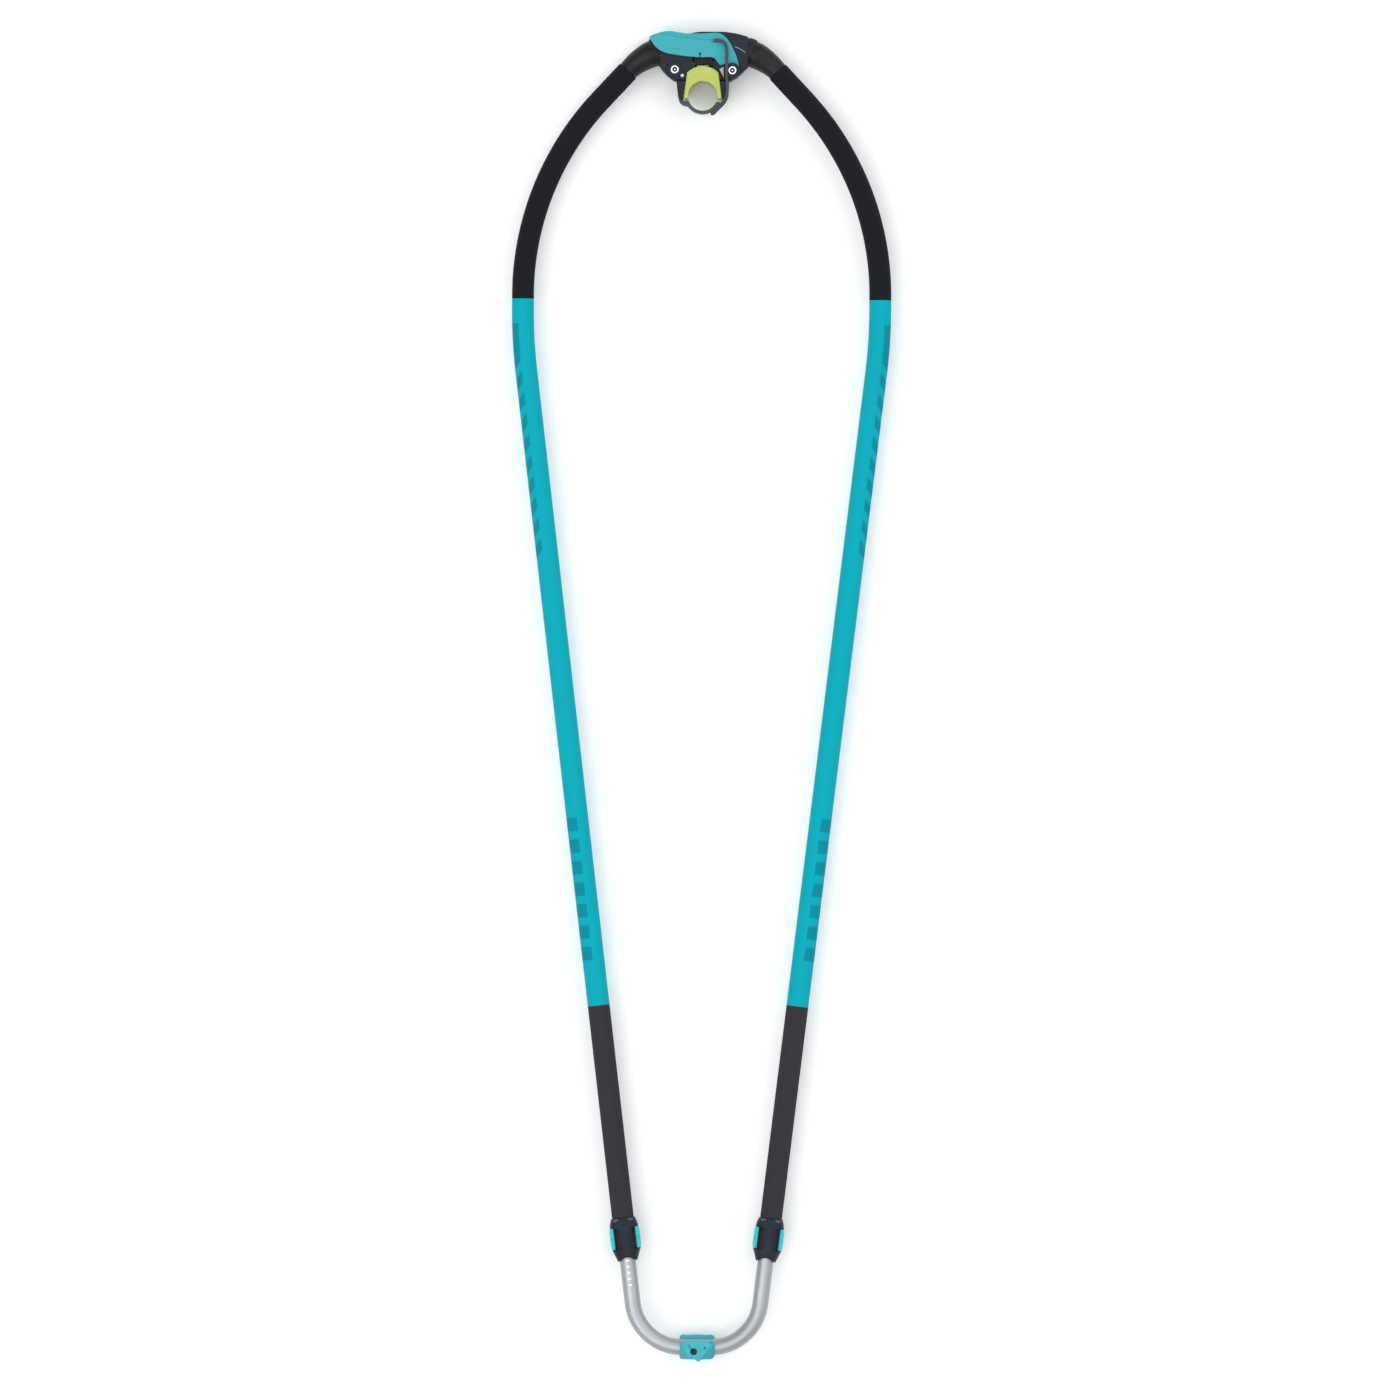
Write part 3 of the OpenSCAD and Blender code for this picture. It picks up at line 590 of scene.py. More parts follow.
ropeBraid = braid("polyesterBraidDark", colour="#22252a", pale="#8b909a", strand=2.5, gloss=0.3)
print("materials ready:", len(bpy.data.materials))

# front tube, wide at the head and tapering into the grips
frontTube = {"radius": 20, "endRadius": 15.25, "flareRun": 82, "wall": 2.6}


def frontRadius(run):
    share = min(1, max(0, (abs(run) - frontTube["flareRun"]) / (gripRun - frontTube["flareRun"])))
    return frontTube["radius"] + (frontTube["endRadius"] - frontTube["radius"]) * share


outer = [(run, frontRadius(run)) for run in stops(-gripRun - 0.5, gripRun + 0.5, 3)]
inner = [(run, frontRadius(run) - frontTube["wall"]) for run, radius in reversed(outer)]
piece = addArmTube("frontTube", outer + inner + outer[:1], 64)
finish(piece, "boom", ["front_bend_tube"], "front_tube", frontPaint)

# foam grips: rounded ends, and a glued seam along the inner side
grips = {"radius": 16.5, "bore": 14.1, "round": 2.4, "seam": 0.45, "joint": 0.5}


def addGrip(name, side, start, end, roundStart, roundEnd):
    rim = []
    for run, soft, way in ((start, roundStart, 1), (end, roundEnd, -1)):
        arc = [(run + way * soft * (1 - math.cos(a)), grips["radius"] - soft * (1 - math.sin(a)))
               for a in [math.radians(90 * k / 4) for k in range(5)]]
        rim.append(arc if way > 0 else arc[::-1])
    middle = [(run, grips["radius"]) for run in stops(rim[0][-1][0], rim[1][0][0], 8)[1:-1]]
    skin = rim[0] + middle + rim[1]
    bore = [(run, grips["bore"]) for run in stops(end, start, 40)]
    profile = [(side * run, radius) for run, radius in skin + bore + skin[:1]]
    rings = [armRing(run, radius, 60) for run, radius in profile]
    for (run, radius), ring in zip(profile, rings):          # the seam lies at the ring's first point
        if radius > grips["bore"] + 0.1:
            centre = sum(ring, Vector()) / len(ring)
            ring[0] = ring[0] + (centre - ring[0]).normalized() * grips["seam"] * mm
    girth = 2 * math.pi * grips["radius"] * mm
    return addSkin(name, rings, [abs(run) * mm for run, radius in profile], girth)


widestY = waistY + armLine["waistRadius"] * math.sin(math.radians(armLine["rearSlant"])) + armLine["sideRun"]
frontSplit = sum(length for length, turn in stretches[:4]) + widestY - gripEndY["front"]
rearSplit, gripEnd = rearRun(gripEndY["middle"]), rearRun(gripEndY["rear"])
for side, word in sides:
    piece = addGrip("gripFront_" + word, side, gripRun + 0.3, frontSplit, grips["round"], grips["joint"])
    finish(piece, "boom", ["grip_front_" + word], "grip_front", frontFoam)
    piece = addGrip("gripMiddle_" + word, side, frontSplit + 0.1, rearSplit, grips["joint"], grips["joint"])
    finish(piece, "boom", ["grip_middle_" + word], "grip_middle", middleFoam)
    piece = addGrip("gripRear_" + word, side, rearSplit + 0.1, gripEnd - 0.1, grips["joint"], 1.2)
    finish(piece, "boom", ["grip_rear_" + word], "grip_rear", rearFoam)
print("tube and grips done")

# tail: the bent tube, and two legs that stay in the arms while the tail pulls out
tailTube = {"radius": 12, "wall": 1.5, "mouthY": -1746, "fineY": -1740, "travel": 500, "spare": 64}
bareY = gripEndY["rear"] - armLine["tailBendY"]          # from the end of the grips to the tail's bend
half = stops(tailBendRun, tailEndRun, 3)
skin, bore = [[armRing(run, radius, 48) for run in half] + [armRing(-run, radius, 48) for run in half[::-1]]
              for radius in (tailTube["radius"], tailTube["radius"] - tailTube["wall"])]
span = 2 * armPlace(tailEndRun)[0]
runs = half + [tailEndRun + span + tailEndRun - run for run in reversed(half)]
piece = addSkin("tailTube", skin + bore[::-1] + skin[:1],
                [run * mm for run in runs + runs[::-1] + runs[:1]], 2 * math.pi * tailTube["radius"] * mm)
finish(piece, "tail", ["tail_tube"], "tail_aluminium", tailAlloy)
legRun = tailBendRun - (tailTube["spare"] + tailTube["travel"] + bareY)
for side, word in sides:
    hidden = stops(legRun, rearRun(tailTube["fineY"]), 30)
    shown = stops(rearRun(tailTube["fineY"]), tailBendRun, 1.6)[1:]
    outer = [(side * run, tailTube["radius"]) for run in hidden + shown]
    inner = [(run, tailTube["radius"] - tailTube["wall"]) for run, radius in reversed(outer)]
    piece = addArmTube("tailLeg_" + word, outer + inner + outer[:1])
    for corner in piece.data.uv_layers.active.data:
        corner.uv.y = abs(corner.uv.y)
    finish(piece, None, ["tail_leg_" + word], "tail_aluminium", tailAlloy if side > 0 else legAlloy)
    start, end = armPlace(rearRun(tailTube["mouthY"])), armPlace(tailBendRun)
    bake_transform(piece)
print("tail done")

# head shells, one over and one under the front tube
head = {"outline": [(-65.5, 46), (-65.5, 84), (-58, 91), (-25, 92.5), (-4, 96.2), (32, 96.2), (50, 93.8),
                    (66.5, 89.3), (68.5, 87), (68.5, 45), (66.5, 42.8), (55.3, 31.5), (42, 22.5),
                    (-42, 22.5), (-50.5, 28), (-59.5, 37)],
        "top": 24, "rim": 2.6, "liner": 2.05,
        "screw": (-42, 39.2), "pivot": (44.3, 37.8), "rivet": (-30.7, 30.3),
        "bossRadius": 11.6, "bossTop": 26, "cleft": (-15.5, 17, 40, 58.4)}
cup = {"foot": (28.4, -4.4), "shoulder": (23.6, 36), "crownY": 11.5, "crownRadius": 32.9, "bore": 21.5,
       "half": 30}


def cupOutline(grow):
    spread = math.degrees(math.asin(cup["shoulder"][0] / cup["crownRadius"]))
    crown = arcPoints(0, cup["crownY"], cup["crownRadius"] + grow, 90 + spread, 90 - spread, 18)
    foot = (cup["foot"][0] + grow, cup["foot"][1] - grow)
    return [(-foot[0], foot[1])] + crown + [foot]


shell = addPlate("headShellUpper", softOutline(head["outline"], 3), 0.05, head["top"])
bevelRim(shell, head["top"], head["rim"], 4)
bevelRim(shell, 0.05, 0.4, 1)
boss = addDisc("boss", *head["screw"], head["top"] - 2, head["bossTop"], head["bossRadius"])
bevelRim(boss, head["bossTop"], 0.8, 3)
cut(shell, boss, how="UNION")
pocket = [(run, frontRadius(run) + head["liner"]) for run in stops(-80, 80, 4)]
pocket = [(pocket[0][0], 0)] + pocket + [(pocket[-1][0], 0)]
left, right, back, front = head["cleft"]
cut(shell, addArmTube("pocket", pocket, 48), addPlate("cupSpace", cupOutline(0.4), -1, 30),
    addBlock("cleft", (left, back, -1), (right, front, 30)),
    addBlock("jawSpace", (-41.4, 20, -1), (41.4, 49.6, 12.1)),
    *[addDisc(where + "Hole", *head[where], -1, 30, radius, 32)
      for where, radius in (("pivot", 4.1), ("screw", 4.1), ("rivet", 2.55))])
# a step scored across the left cheek, and a pale bead on the right shoulder as a painted highlight
groove = [(-63, 57.2), (-46, 55.2), (-24, 50.6), (-24, 49.6), (-46, 54.3), (-63, 56.3)]
cut(shell, addPlate("groove", groove, 23.4, 25))
lower = copyPiece(shell, "headShellLower", flipZ)
finish(shell, "boom", ["head_shell_upper"], "head_plastic", headNylon)
finish(lower, "boom", ["head_shell_lower"], "head_plastic", headNylon)
# pale grey raised bead along the right shoulder: a painted highlight
highlightBead = [(46.5, 73.4), (50, 72.8), (54, 71.2), (58, 69), (62, 66.4), (64.6, 64.2)]
rims = [(0, 0)] + [(0.55, 0.35)] * 4 + [(0, 0)]          # half width and height along the highlight bead
turns = [math.pi * j / 6 for j in range(12)]
rings = [[Vector((x, y + wide * math.cos(a), head["top"] + high * math.sin(a))) * mm for a in turns]
         for (x, y), (wide, high) in zip(highlightBead, rims)]
piece = addSkin("shoulderHighlightBead", rings, [x * mm for x, y in highlightBead], 0.003)
finish(piece, "boom", [], "head_plastic", guideAcetalAndHighlight)
lip = [(run, frontRadius(run) + depth) for run, depth in
       ((62, 0.1), (66, 1.9), (72.6, 2.0), (74.4, 1.4), (75, 0.1), (62, 0.1))]
for side, word in sides:
    piece = addArmTube("linerLip_" + word, [(side * run, radius) for run, radius in lip], 48)
    finish(piece, "boom", ["head_liner"] if side > 0 else [], "liner_rubber", blackRubber)

# mast cup between the jaws
outline = cupOutline(0)
footAngle = math.degrees(math.asin(cup["foot"][1] / cup["bore"]))
bore = arcPoints(0, 0, cup["bore"], footAngle, 180 - footAngle, 48)
ends = softOutline([outline[-2], outline[-1], bore[0], bore[3]], 2.6)[5:15]
endsLeft = softOutline([bore[-4], bore[-1], outline[0], outline[1]], 2.6)[5:15]
piece = addPlate("mastCup", outline[1:-1] + ends + bore[3:-3] + endsLeft, -cup["half"], cup["half"])
bevelRims(piece, cup["half"], 1.4, 4)
cut(piece, *[addDisc("rib", 0, 0, z - 0.7, z + 0.7, cup["bore"] + 0.7) for z in (-18, -9, 0, 9, 18)],
    addBlock("key", (-6.4, 20.2, -31), (-3.6, 21.9, 31)))
finish(piece, "boom", ["mast_cup"], "mast_cup", cupRubber)

# jaws beside the cup
jaws = {"plan": [(26, 22.2), (29.3, -5.6), (33, -6.6), (36.6, -2), (39.5, 22.2)],
        "panel": [(31.2, 19.5), (32.6, -2.6), (34.4, -2.4), (35.4, 0), (37.8, 19.5)], "half": 28, "block": 12}
for side, word in sides:
    plan = [(x * side, y) for x, y in jaws["plan"]]
    piece = addPlate("jawPlate_" + word, softOutline(plan, 2), -jaws["half"], jaws["half"])
    bevelRims(piece, jaws["half"], 0.5)
    low, high = sorted((side * (17.5 if side > 0 else 16), side * 41.2))
    cut(piece, addBlock("jawBlock", (low, 22, -jaws["block"]), (high, 49.4, jaws["block"])), how="UNION")
    cut(piece, addPlate("cupSpace", cupOutline(0.2), -31, 31))
    if side < 0:
        cut(piece, addBlock("strapSlot", (-44, -9, -14.3), (-31.4, 12, 14.3)))
    panel = softOutline([(x * side, y) for x, y in jaws["panel"]], 0.8)
    cut(piece, addPlate("panel", panel, 27.3, 30), addPlate("panel", panel, -30, -27.3))
    finish(piece, "boom", ["jaw_" + word], "jaw_plastic", headNylon)

# ribbed rubber block behind the cup, with a pale pad under it
outline = [(45.2, -22), (58, -22), (58, -18.6), (49.4, -18.6), (49.4, 18.6), (58, 18.6), (58, 22), (45.2, 22)]
buffer = addPlate("cupBuffer", outline, -13.4, 15.6)
buffer.data.transform(Matrix(((0, 0, 1, 0), (1, 0, 0, 0), (0, 1, 0, 0), (0, 0, 0, 1))))   # drawn on its side
ribX = (-9.8, -5, -0.2, 4.6, 9.4)
modify(buffer, "BEVEL", width=0.0006, segments=2)
cut(buffer, *[addBlock("rib", (x, 44, -25), (x + 1.8, 47.2, 25)) for x in ribX],
    *[addBlock("rib", (x, 46, z), (x + 1.8, 56.6, z + 2)) for x in ribX for z in (21.2, -23.2)])
finish(buffer, "boom", ["cup_buffer"], "liner_rubber", blackRubber)
piece = addBlock("bufferPad", (-8.4, 44.5, 16), (9.2, 45.3, 22.6))
modify(piece, "BEVEL", width=0.0003, segments=2)
finish(piece, "boom", [], "guide_plastic", acetal)

# wedge that keeps the rope off the cup
piece = addPlate("ropeGuide", softOutline([(24.6, 39.8), (32, 44.2), (32.4, 25.4)], 0.8), 24.05, 29)
bevelRim(piece, 29, 0.9, 3)
planeCut(piece, (26, 39, 28.6), (-0.35, 0, 1))
finish(piece, "boom", ["rope_guide"], "guide_plastic", guideAcetalAndHighlight)

# rivet with a domed head at each end
dome = addPrimitive("dome", bpy.ops.mesh.primitive_uv_sphere_add, segments=32, ring_count=16, radius=2.6 * mm)
dome.data.transform(Matrix.Translation(Vector((*head["rivet"], 24.2)) * mm)
                    @ Matrix.Scale(0.45, 4, (0, 0, 1)))
piece = addDisc("jawRivet", *head["rivet"], -24.2, 24.2, 2.4, 32)
cut(piece, copyPiece(dome, "domeLow", flipZ), dome, how="UNION")
finish(piece, "boom", ["jaw_rivet"], "screw_steel", acetal)


# ring-head screws and their nuts
def addScrew(name, x, y, seat, ring, socket, bodyRadius, tail):
    piece = addDisc(name, x, y, seat, seat + ring[1], ring[0])
    bevelRim(piece, seat + ring[1], 0.7, 4)
    shank = addDisc("shank", x, y, tail, seat + 0.4, bodyRadius, 32)
    cut(piece, shank, how="UNION")
    dish = addDisc("dish", x, y, seat + ring[1] - 0.9, seat + ring[1] + 1, socket + 0.9, 48)
    hole = addDisc("hole", x, y, seat + ring[1] - 2.3, seat + ring[1] + 1, socket, 6, 20)
    cut(piece, dish, hole)
    return piece


def paintSocketShade(piece, x, y, reach, top):    # second material, dark, on the faces inside a screw's socket: painted shade
    for face in piece.data.polygons:
        away = Vector((face.center.x / mm - x, face.center.y / mm - y))
        if away.length < reach and abs(face.center.z) / mm < top:
            face.material_index = 1


for name, (x, y), seat in (("leftScrew", head["screw"], 26), ("pivotScrew", head["pivot"], 33.1)):
    node = "left" if name == "leftScrew" else "pivot"
    piece = addScrew(name, x, y, seat, (6.15, 2.6), 3, 4, -seat - 4)
    finish(piece, "boom", [node + "_screw"], "screw_steel", steel, darkSteelAndSocketShade)
    # the socket's faces are painted dark as shade
    paintSocketShade(piece, x, y, 4.2, seat + 2.5)
    pin = addDisc(name + "Core", x, y, seat + 0.2, seat + 1.3, 1.3, 24)
    bevelRim(pin, seat + 1.3, 0.5, 3)
    finish(pin, "boom", [], "screw_steel", steel)
    nut = addDisc(node + "Nut", x, y, -seat - 4, -seat - 0.05, 7, 6, 30)
    bevelRim(nut, -seat - 4, 0.6, 2)
    cut(nut, addDisc("nutHole", x, y, -seat - 5, -seat + 1, 4.1, 32))
    finish(nut, "boom", [node + "_nut"], "screw_steel", steel)
cap = addDisc("pivotCap", *head["pivot"], 30.1, 33.1, 11.6)
bevelRim(cap, 33.1, 0.9, 4)
insetFace(cap, 33.1, 1.4, 0.5)
cut(cap, addDisc("capHole", *head["pivot"], 29, 35, 4.1, 32))
capLow = copyPiece(cap, "pivotCapLow", flipZ)
finish(cap, "boom", ["pivot_caps"], "jaw_plastic", headNylon)
finish(capLow, "boom", [], "jaw_plastic", headNylon)
print("head done")

# clamping lever: a raised face with a lower band along the front edge and round the corner to the pivot
lever = {"front": [(-81.4, 88.5), (-66, 94.2), (-57, 96.4), (-48.1, 96.8), (-40, 95.4), (-25, 92.9),
                   (-4, 93.2), (20, 94.4), (26.5, 93.4), (32, 90), (37, 84.6), (41, 78.8), (46, 69),
                   (49.6, 61.4), (53.8, 47.6), (54.4, 38), (36.6, 30.6), (35, 48.6)],
         "face": [(-80, 87.8), (-66, 90.4), (-54, 90.3), (-39, 88), (-10, 85.3), (17, 83), (26, 81.4),
                  (30.6, 77.4), (31.8, 70), (31.9, 47.4)],
         "back": [(26, 45.2), (20.8, 52.2), (17.5, 56), (12.5, 57.8), (-4, 57.4), (-25, 58.8), (-48.1, 62),
                  (-58, 64.6), (-65.5, 68.3), (-71, 73), (-74.5, 77.3)],
         "low": 24.3, "high": 29.8, "bandDrop": 1.7, "earRadius": 11, "bushRadius": 6, "key": (-4.4, 62.6)}
x, y = lever["key"]
band, top = lever["high"] - lever["bandDrop"], lever["high"]
piece = addPlate("leverPlate", softOutline(lever["front"] + lever["back"], 3.6), lever["low"], band)
bevelRim(piece, band, 0.7, 3)
bevelRim(piece, lever["low"], 0.3, 2)
face = addPlate("leverFace", softOutline(lever["face"] + lever["back"], 3.4), lever["low"] + 0.6, top)
bevelRim(face, top, 0.7, 3)
planeCut(piece, (0, 87, band), (0, 0.13, 1))        # the band falls away to the front and to the right
planeCut(piece, (35, 70, band), (0.13, 0, 1))
planeCut(face, (19.5, 70, top), (0.15, 0, 1))       # and the face folds down beside the rope
planeCut(face, (-46, 80, top), (-0.05, 0.02, 1))
ear = addDisc("ear", *head["pivot"], lever["low"] + 0.35, top, lever["earRadius"])
bevelRim(ear, top, 0.6, 3)
cut(piece, face, ear, how="UNION")
cut(piece, addDisc("bushHole", *head["pivot"], 20, 40, lever["bushRadius"]),
    addDisc("keyHole", x, y, 20, 40, 1.7, 32), addBlock("keySlot", (x - 0.7, 55, 20), (x + 0.7, y, 40)),
    addBlock("ropeSlot", (12.8, 79.6, 27), (27.4, 85.6, 40)),
    addDisc("mark", 9.4, 89, band - 0.5, 40, 2.3, 32))
low = copyPiece(piece, "leverPlateLow", flipZ)
web = softOutline([(-80.6, 88.6), (-78.4, 87.2), (-62.6, 92.2), (-64.4, 94.4)], 0.8)
join(piece, low, addPlate("leverWeb", web, -25.3, 25.3))
piece.name = "clampLever"
finish(piece, "lever", ["clamp_lever"], "lever_plastic", leverNylon)
print("lever done")

# rope from the lever's slot over the mast clamp to the strap's hook, and back underneath
rope = {"radius": 2.3, "strands": 6, "lay": 9.5, "relief": 0.14, "step": 0.8}
route = [(16, 82.4, 30.7), (20, 82.6, 31.6), (26.6, 82, 32.4), (32, 79, 32.4), (34.6, 74, 32.4),
         (35.6, 67, 32.4), (35.6, 60, 33), (35.6, 53, 34.8), (35.6, 46, 35.8), (35.6, 38, 36),
         (35.6, 30, 35.8), (36.4, 23, 34), (37, 16, 32.6), (36.8, 8, 31.6), (35.8, 0, 31), (33.4, -5, 31),
         (30.6, -9.4, 30), (27.6, -13, 27), (24.8, -16, 23), (21, -19.8, 18.6), (17.6, -23.4, 15.4),
         (15.4, -25.6, 10.6), (14.4, -26, 5), (14.4, -26, 0)]
route = [Vector(p) for p in route + [(x, y, -z) for x, y, z in route[-2::-1]]]


def smoothRoute(points, step):           # even steps along a curve through all the points
    fine = []
    for i in range(len(points) - 1):
        p0, p1, p2, p3 = (points[max(0, min(len(points) - 1, i + k))] for k in (-1, 0, 1, 2))
        for k in range(16):
            t = k / 16
            fine.append(0.5 * (2 * p1 + (p2 - p0) * t + (2 * p0 - 5 * p1 + 4 * p2 - p3) * t * t
                               + (3 * p1 - p0 - 3 * p2 + p3) * t ** 3))
    fine.append(points[-1])
    even, travelled, goal = [fine[0]], 0, step
    for a, b in zip(fine, fine[1:]):
        while travelled + (b - a).length >= goal:
            even.append(a.lerp(b, (goal - travelled) / (b - a).length))
            goal += step
        travelled += (b - a).length
    return even, travelled


line, ropeLength = smoothRoute(route, rope["step"])
columns = 36
rings, runs = [], []
across = Vector((0, 1, 0))
for i, point in enumerate(line):
    along = (line[min(i + 1, len(line) - 1)] - line[max(i - 1, 0)]).normalized()
    across = (across - across.dot(along) * along).normalized()
    other = along.cross(across)
    run = i * rope["step"]
    shrink = 1 if 0 < i < len(line) - 1 else 0.001
    ring = []
    for j in range(columns):
        a = 2 * math.pi * j / columns
        turn = 2 * math.pi * run / rope["lay"]
        ridge = max(math.cos(rope["strands"] * (a + turn / 2)), math.cos(rope["strands"] * (a - turn / 2)))
        radius = (rope["radius"] + rope["relief"] * ridge) * shrink
        ring.append((point + radius * (math.cos(a) * across + math.sin(a) * other)) * mm)
    rings.append(ring)
    runs.append(run * mm)
piece = addSkin("clampRope", rings, runs, 2 * math.pi * rope["radius"] * mm)
finish(piece, None, ["clamp_rope"], "rope", ropeBraid, angle=80, weighted=False)
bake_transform(piece)
print("rope done:", round(ropeLength), "mm")

# moulded strap round the mast: pinned in the left jaw, hooked by the rope on the right
strap = {"root": [(-26, -6.6), (-31, -6.9), (-31.8, -5.4), (-31.8, 7.4), (-37, 7.4), (-36.8, -2),
                  (-34.4, -9.6), (-29.5, -14)],
         "hook": [(24.8, -20.4), (27.4, -17), (27.6, -11.4), (24.4, -8.2), (20.6, -8.6)],
         "inner": 21.8, "outer": 26.8, "half": 14}
outline = strap["root"] + arcPoints(0, 0, strap["outer"], 215, 311, 12) + strap["hook"] \
    + arcPoints(0, 0, strap["inner"], 333, 198, 24)
piece = addPlate("mastStrap", softOutline(outline, 1.6), -strap["half"], strap["half"])
bevelRims(piece, strap["half"], 0.5)
groove = arcPoints(0, 0, 25.2, 222, 306, 14) + arcPoints(0, 0, 23.2, 306, 222, 14)
cut(piece, addDisc("pinHole", -33.6, 3, -20, 20, 2.1, 32), addPlate("groove", groove, 13.2, 16),
    addPlate("groove", groove, -16, -13.2))
finish(piece, "boom", ["mast_strap"], "strap", strapRubber)
print("strap done")

# tail locks, drawn with -Y to the tail and +X outward, then placed on both arms
lock = {"profile": [(0, 14.6), (0, 16.8), (0.4, 17.4), (2.4, 18.5), (5, 19.5), (8, 20.4), (12, 21.2),
                    (16, 21.6), (46, 21.6), (47.5, 21.4), (49, 20.9), (50.4, 20.3), (65.4, 14.7), (66, 14.2),
                    (66, 13)],
        "flat": 18, "windowFront": -14.6, "windowBack": -47, "wingSlot": 11.2, "slotSide": 14.5,
        "bore": 12.6, "seat": 14.05, "mouthRadius": 20}


def lockRing(back, radius, columns):
    ring = []
    for j in range(columns):
        a = 2 * math.pi * j / columns
        x, z = radius * math.cos(a), radius * math.sin(a)
        flat = lock["flat"]
        if radius > flat:                            # top and bottom are pressed flat
            z = math.copysign(flat * math.tanh(abs(z) / flat * 1.25) / math.tanh(1.25), z)
        ring.append(Vector((x, -back, z)) * mm)
    return ring


rings = [lockRing(back, radius, 72) for back, radius in lock["profile"]]
inside = [lockRing(back, lock["bore"], 72) for back in (66, 0)]
housing = addSkin("lockHousing", rings + inside + rings[:1], [0] * (len(rings) + 3), 0.1)
tool = addDisc("seat", 0, 0, -1, 58, lock["seat"])
tool.data.transform(placed((0, 0, 0), 90, "X"))
cut(housing, tool, addDisc("mouth", 0, -80, -30, 30, lock["mouthRadius"]))
for side in (1, -1):
    for low, high in ((14.4, 30), (-30, -14.4)):     # sunken panel beside the button
        panel = [(side * 7.4, -15.4), (side * 24, -14), (side * 24, -47.8), (side * 6.2, -47.8)]
        cut(housing, addPlate("panel", softOutline(panel, 1.2), low, high))
    for reach, low, high in (("slotSide", -30, 30), ("wingSlot", 9.6, 30), ("wingSlot", -30, -9.6)):
        x = sorted((side * lock[reach], side * 24))
        cut(housing, addBlock("slot", (x[0], lock["windowBack"], low), (x[1], lock["windowFront"], high)))
    for level in (1, -1):                            # corners cut off at the front end, their new faces paler: a painted highlight
        planeCut(housing, (side * 9, -2.6, level * 16.6), (side * 0.5, 0.62, level), second=True)
cut(housing, addDisc("screwWell", 0, -10, 12, 20, 2.3, 32))

# rocker button: ribbed outer face, wings that close the window from above and below
button = {"plan": [(14.2, -15), (20.8, -15), (22.6, -18), (22.8, -42), (21.6, -46.6), (14.2, -46.6)],
          "half": 13, "inner": 17.4, "skirt": 16.4, "round": 22.9, "ribPitch": 2.4}
rocker = addPlate("rocker", softOutline(button["plan"], 1.2), -button["half"], button["half"])
bevelRims(rocker, button["half"], 0.6, 2)
tool = addDisc("tool", 0, 0, 0, 60, button["round"], 96)
tool.data.transform(placed((0, 0, 0), 90, "X"))
cut(rocker, tool, how="INTERSECT")
cut(rocker, addBlock("relief", (10, -50, -10), (button["inner"], -10, 10)))
for k in range(12):                       # slanted grip ribs across the outer face
    y = -17.4 - k * button["ribPitch"]
    rib = addBlock("rib", (-0.55, -0.4, -16), (0.55, 0.4, 16))
    rib.data.transform(placed((22.45 if k in (0, 11) else 22.75, y, 0), 32, "X"))
    cut(rocker, rib)
    for z in (1, -1):
        notch = addBlock("notch", (-3.4, -0.4, -0.5), (5, 0.4, 3))
        notch.data.transform(placed((18.6, y, z * 12.7), -28 if z > 0 else 180 + 28, "Y")
                             @ placed((0, 0, 0), 20, "Z"))
        cut(rocker, notch)
bolt = addDisc("bolt", 0, 0, 10.6, 18, 2.4, 32)
bolt.data.transform(placed((0, -42, 0), 90, "Y"))
cut(rocker, bolt, how="UNION")
editAll(rocker)
bpy.ops.mesh.bisect(plane_co=(button["skirt"] * mm, 0, 0), plane_no=(1, 0, 0))
deselect()
for face in rocker.data.polygons:          # skirt that closes the slot on the inner side, painted dark: painted shade of the recess beside the button
    face.material_index = 1 if face.center.x < button["skirt"] * mm else 0
for side, word in sides:
    place = (Matrix.Identity(4) if side > 0 else flipX) @ lockMatrix
    piece = copyPiece(housing, "lockHousing_" + word, place)
    # the housing's second material is a painted highlight on the cut corners
    finish(piece, "boom", ["lock_housing_" + word], "lock_plastic", headNylon, highlightNylon)
    for way, where in ((Matrix.Identity(4), "outer"), (flipX, "inner")):
        which = word + "_" + where
        piece = copyPiece(rocker, "button_" + which, place @ way)
        # the button's second material paints its inner skirt dark as shade
        finish(piece, "button_" + which, ["rocker_" + which], "button_plastic", buttonNylon, headNylon)
bpy.data.objects.remove(housing)
bpy.data.objects.remove(rocker)
print("locks done")

# outhaul fitting on the middle of the tail
tailY = armPlace(tailEndRun)[1]
fitting = {"upper": [(-24, -17), (-25, 5), (-23.4, 8.2), (-20, 6.8), (-18, 7.4), (-16, 9.6), (24, 9.6),
                     (27.5, 6.6), (27.5, -13), (23, -17.4), (7, -17.6), (4.6, -21), (1.6, -20.6),
                     (-1.4, -17.8)], "top": 16.5,
           "lower": [(-25, -16.4), (-25, 15), (-22, 18), (24, 18), (27.5, 15), (27.5, -13), (23, -16.4)],
           "bottom": -28.5, "screw": (-4, -6), "screwWell": 5.2, "sheaves": (-12, 14), "sheaveZ": -20.6}
outline = softOutline([(x, y + tailY) for x, y in fitting["upper"]], 1.6)
upper = addPlate("outhaulUpper", outline, 0.05, fitting["top"])
bevelRim(upper, fitting["top"], 0.8, 3)
planeCut(upper, (-15.8, tailY - 6, 16.5), (-0.34, -0.17, 1), second=True)     # slanted facet on the left, painted a deeper teal as painted shade
planeCut(upper, (18, tailY - 2, 16.5), (0.2, -0.16, 1), second=True)          # shallow one on the right, also painted shade
x, y = fitting["screw"][0], fitting["screw"][1] + tailY
tube = addDisc("tube", 0, 0, -40, 40, 12.1)
tube.data.transform(placed((0, tailY, 0), 90, "Y"))
tubeTwin = copyPiece(tube, "tubeTwin", Matrix.Identity(4))
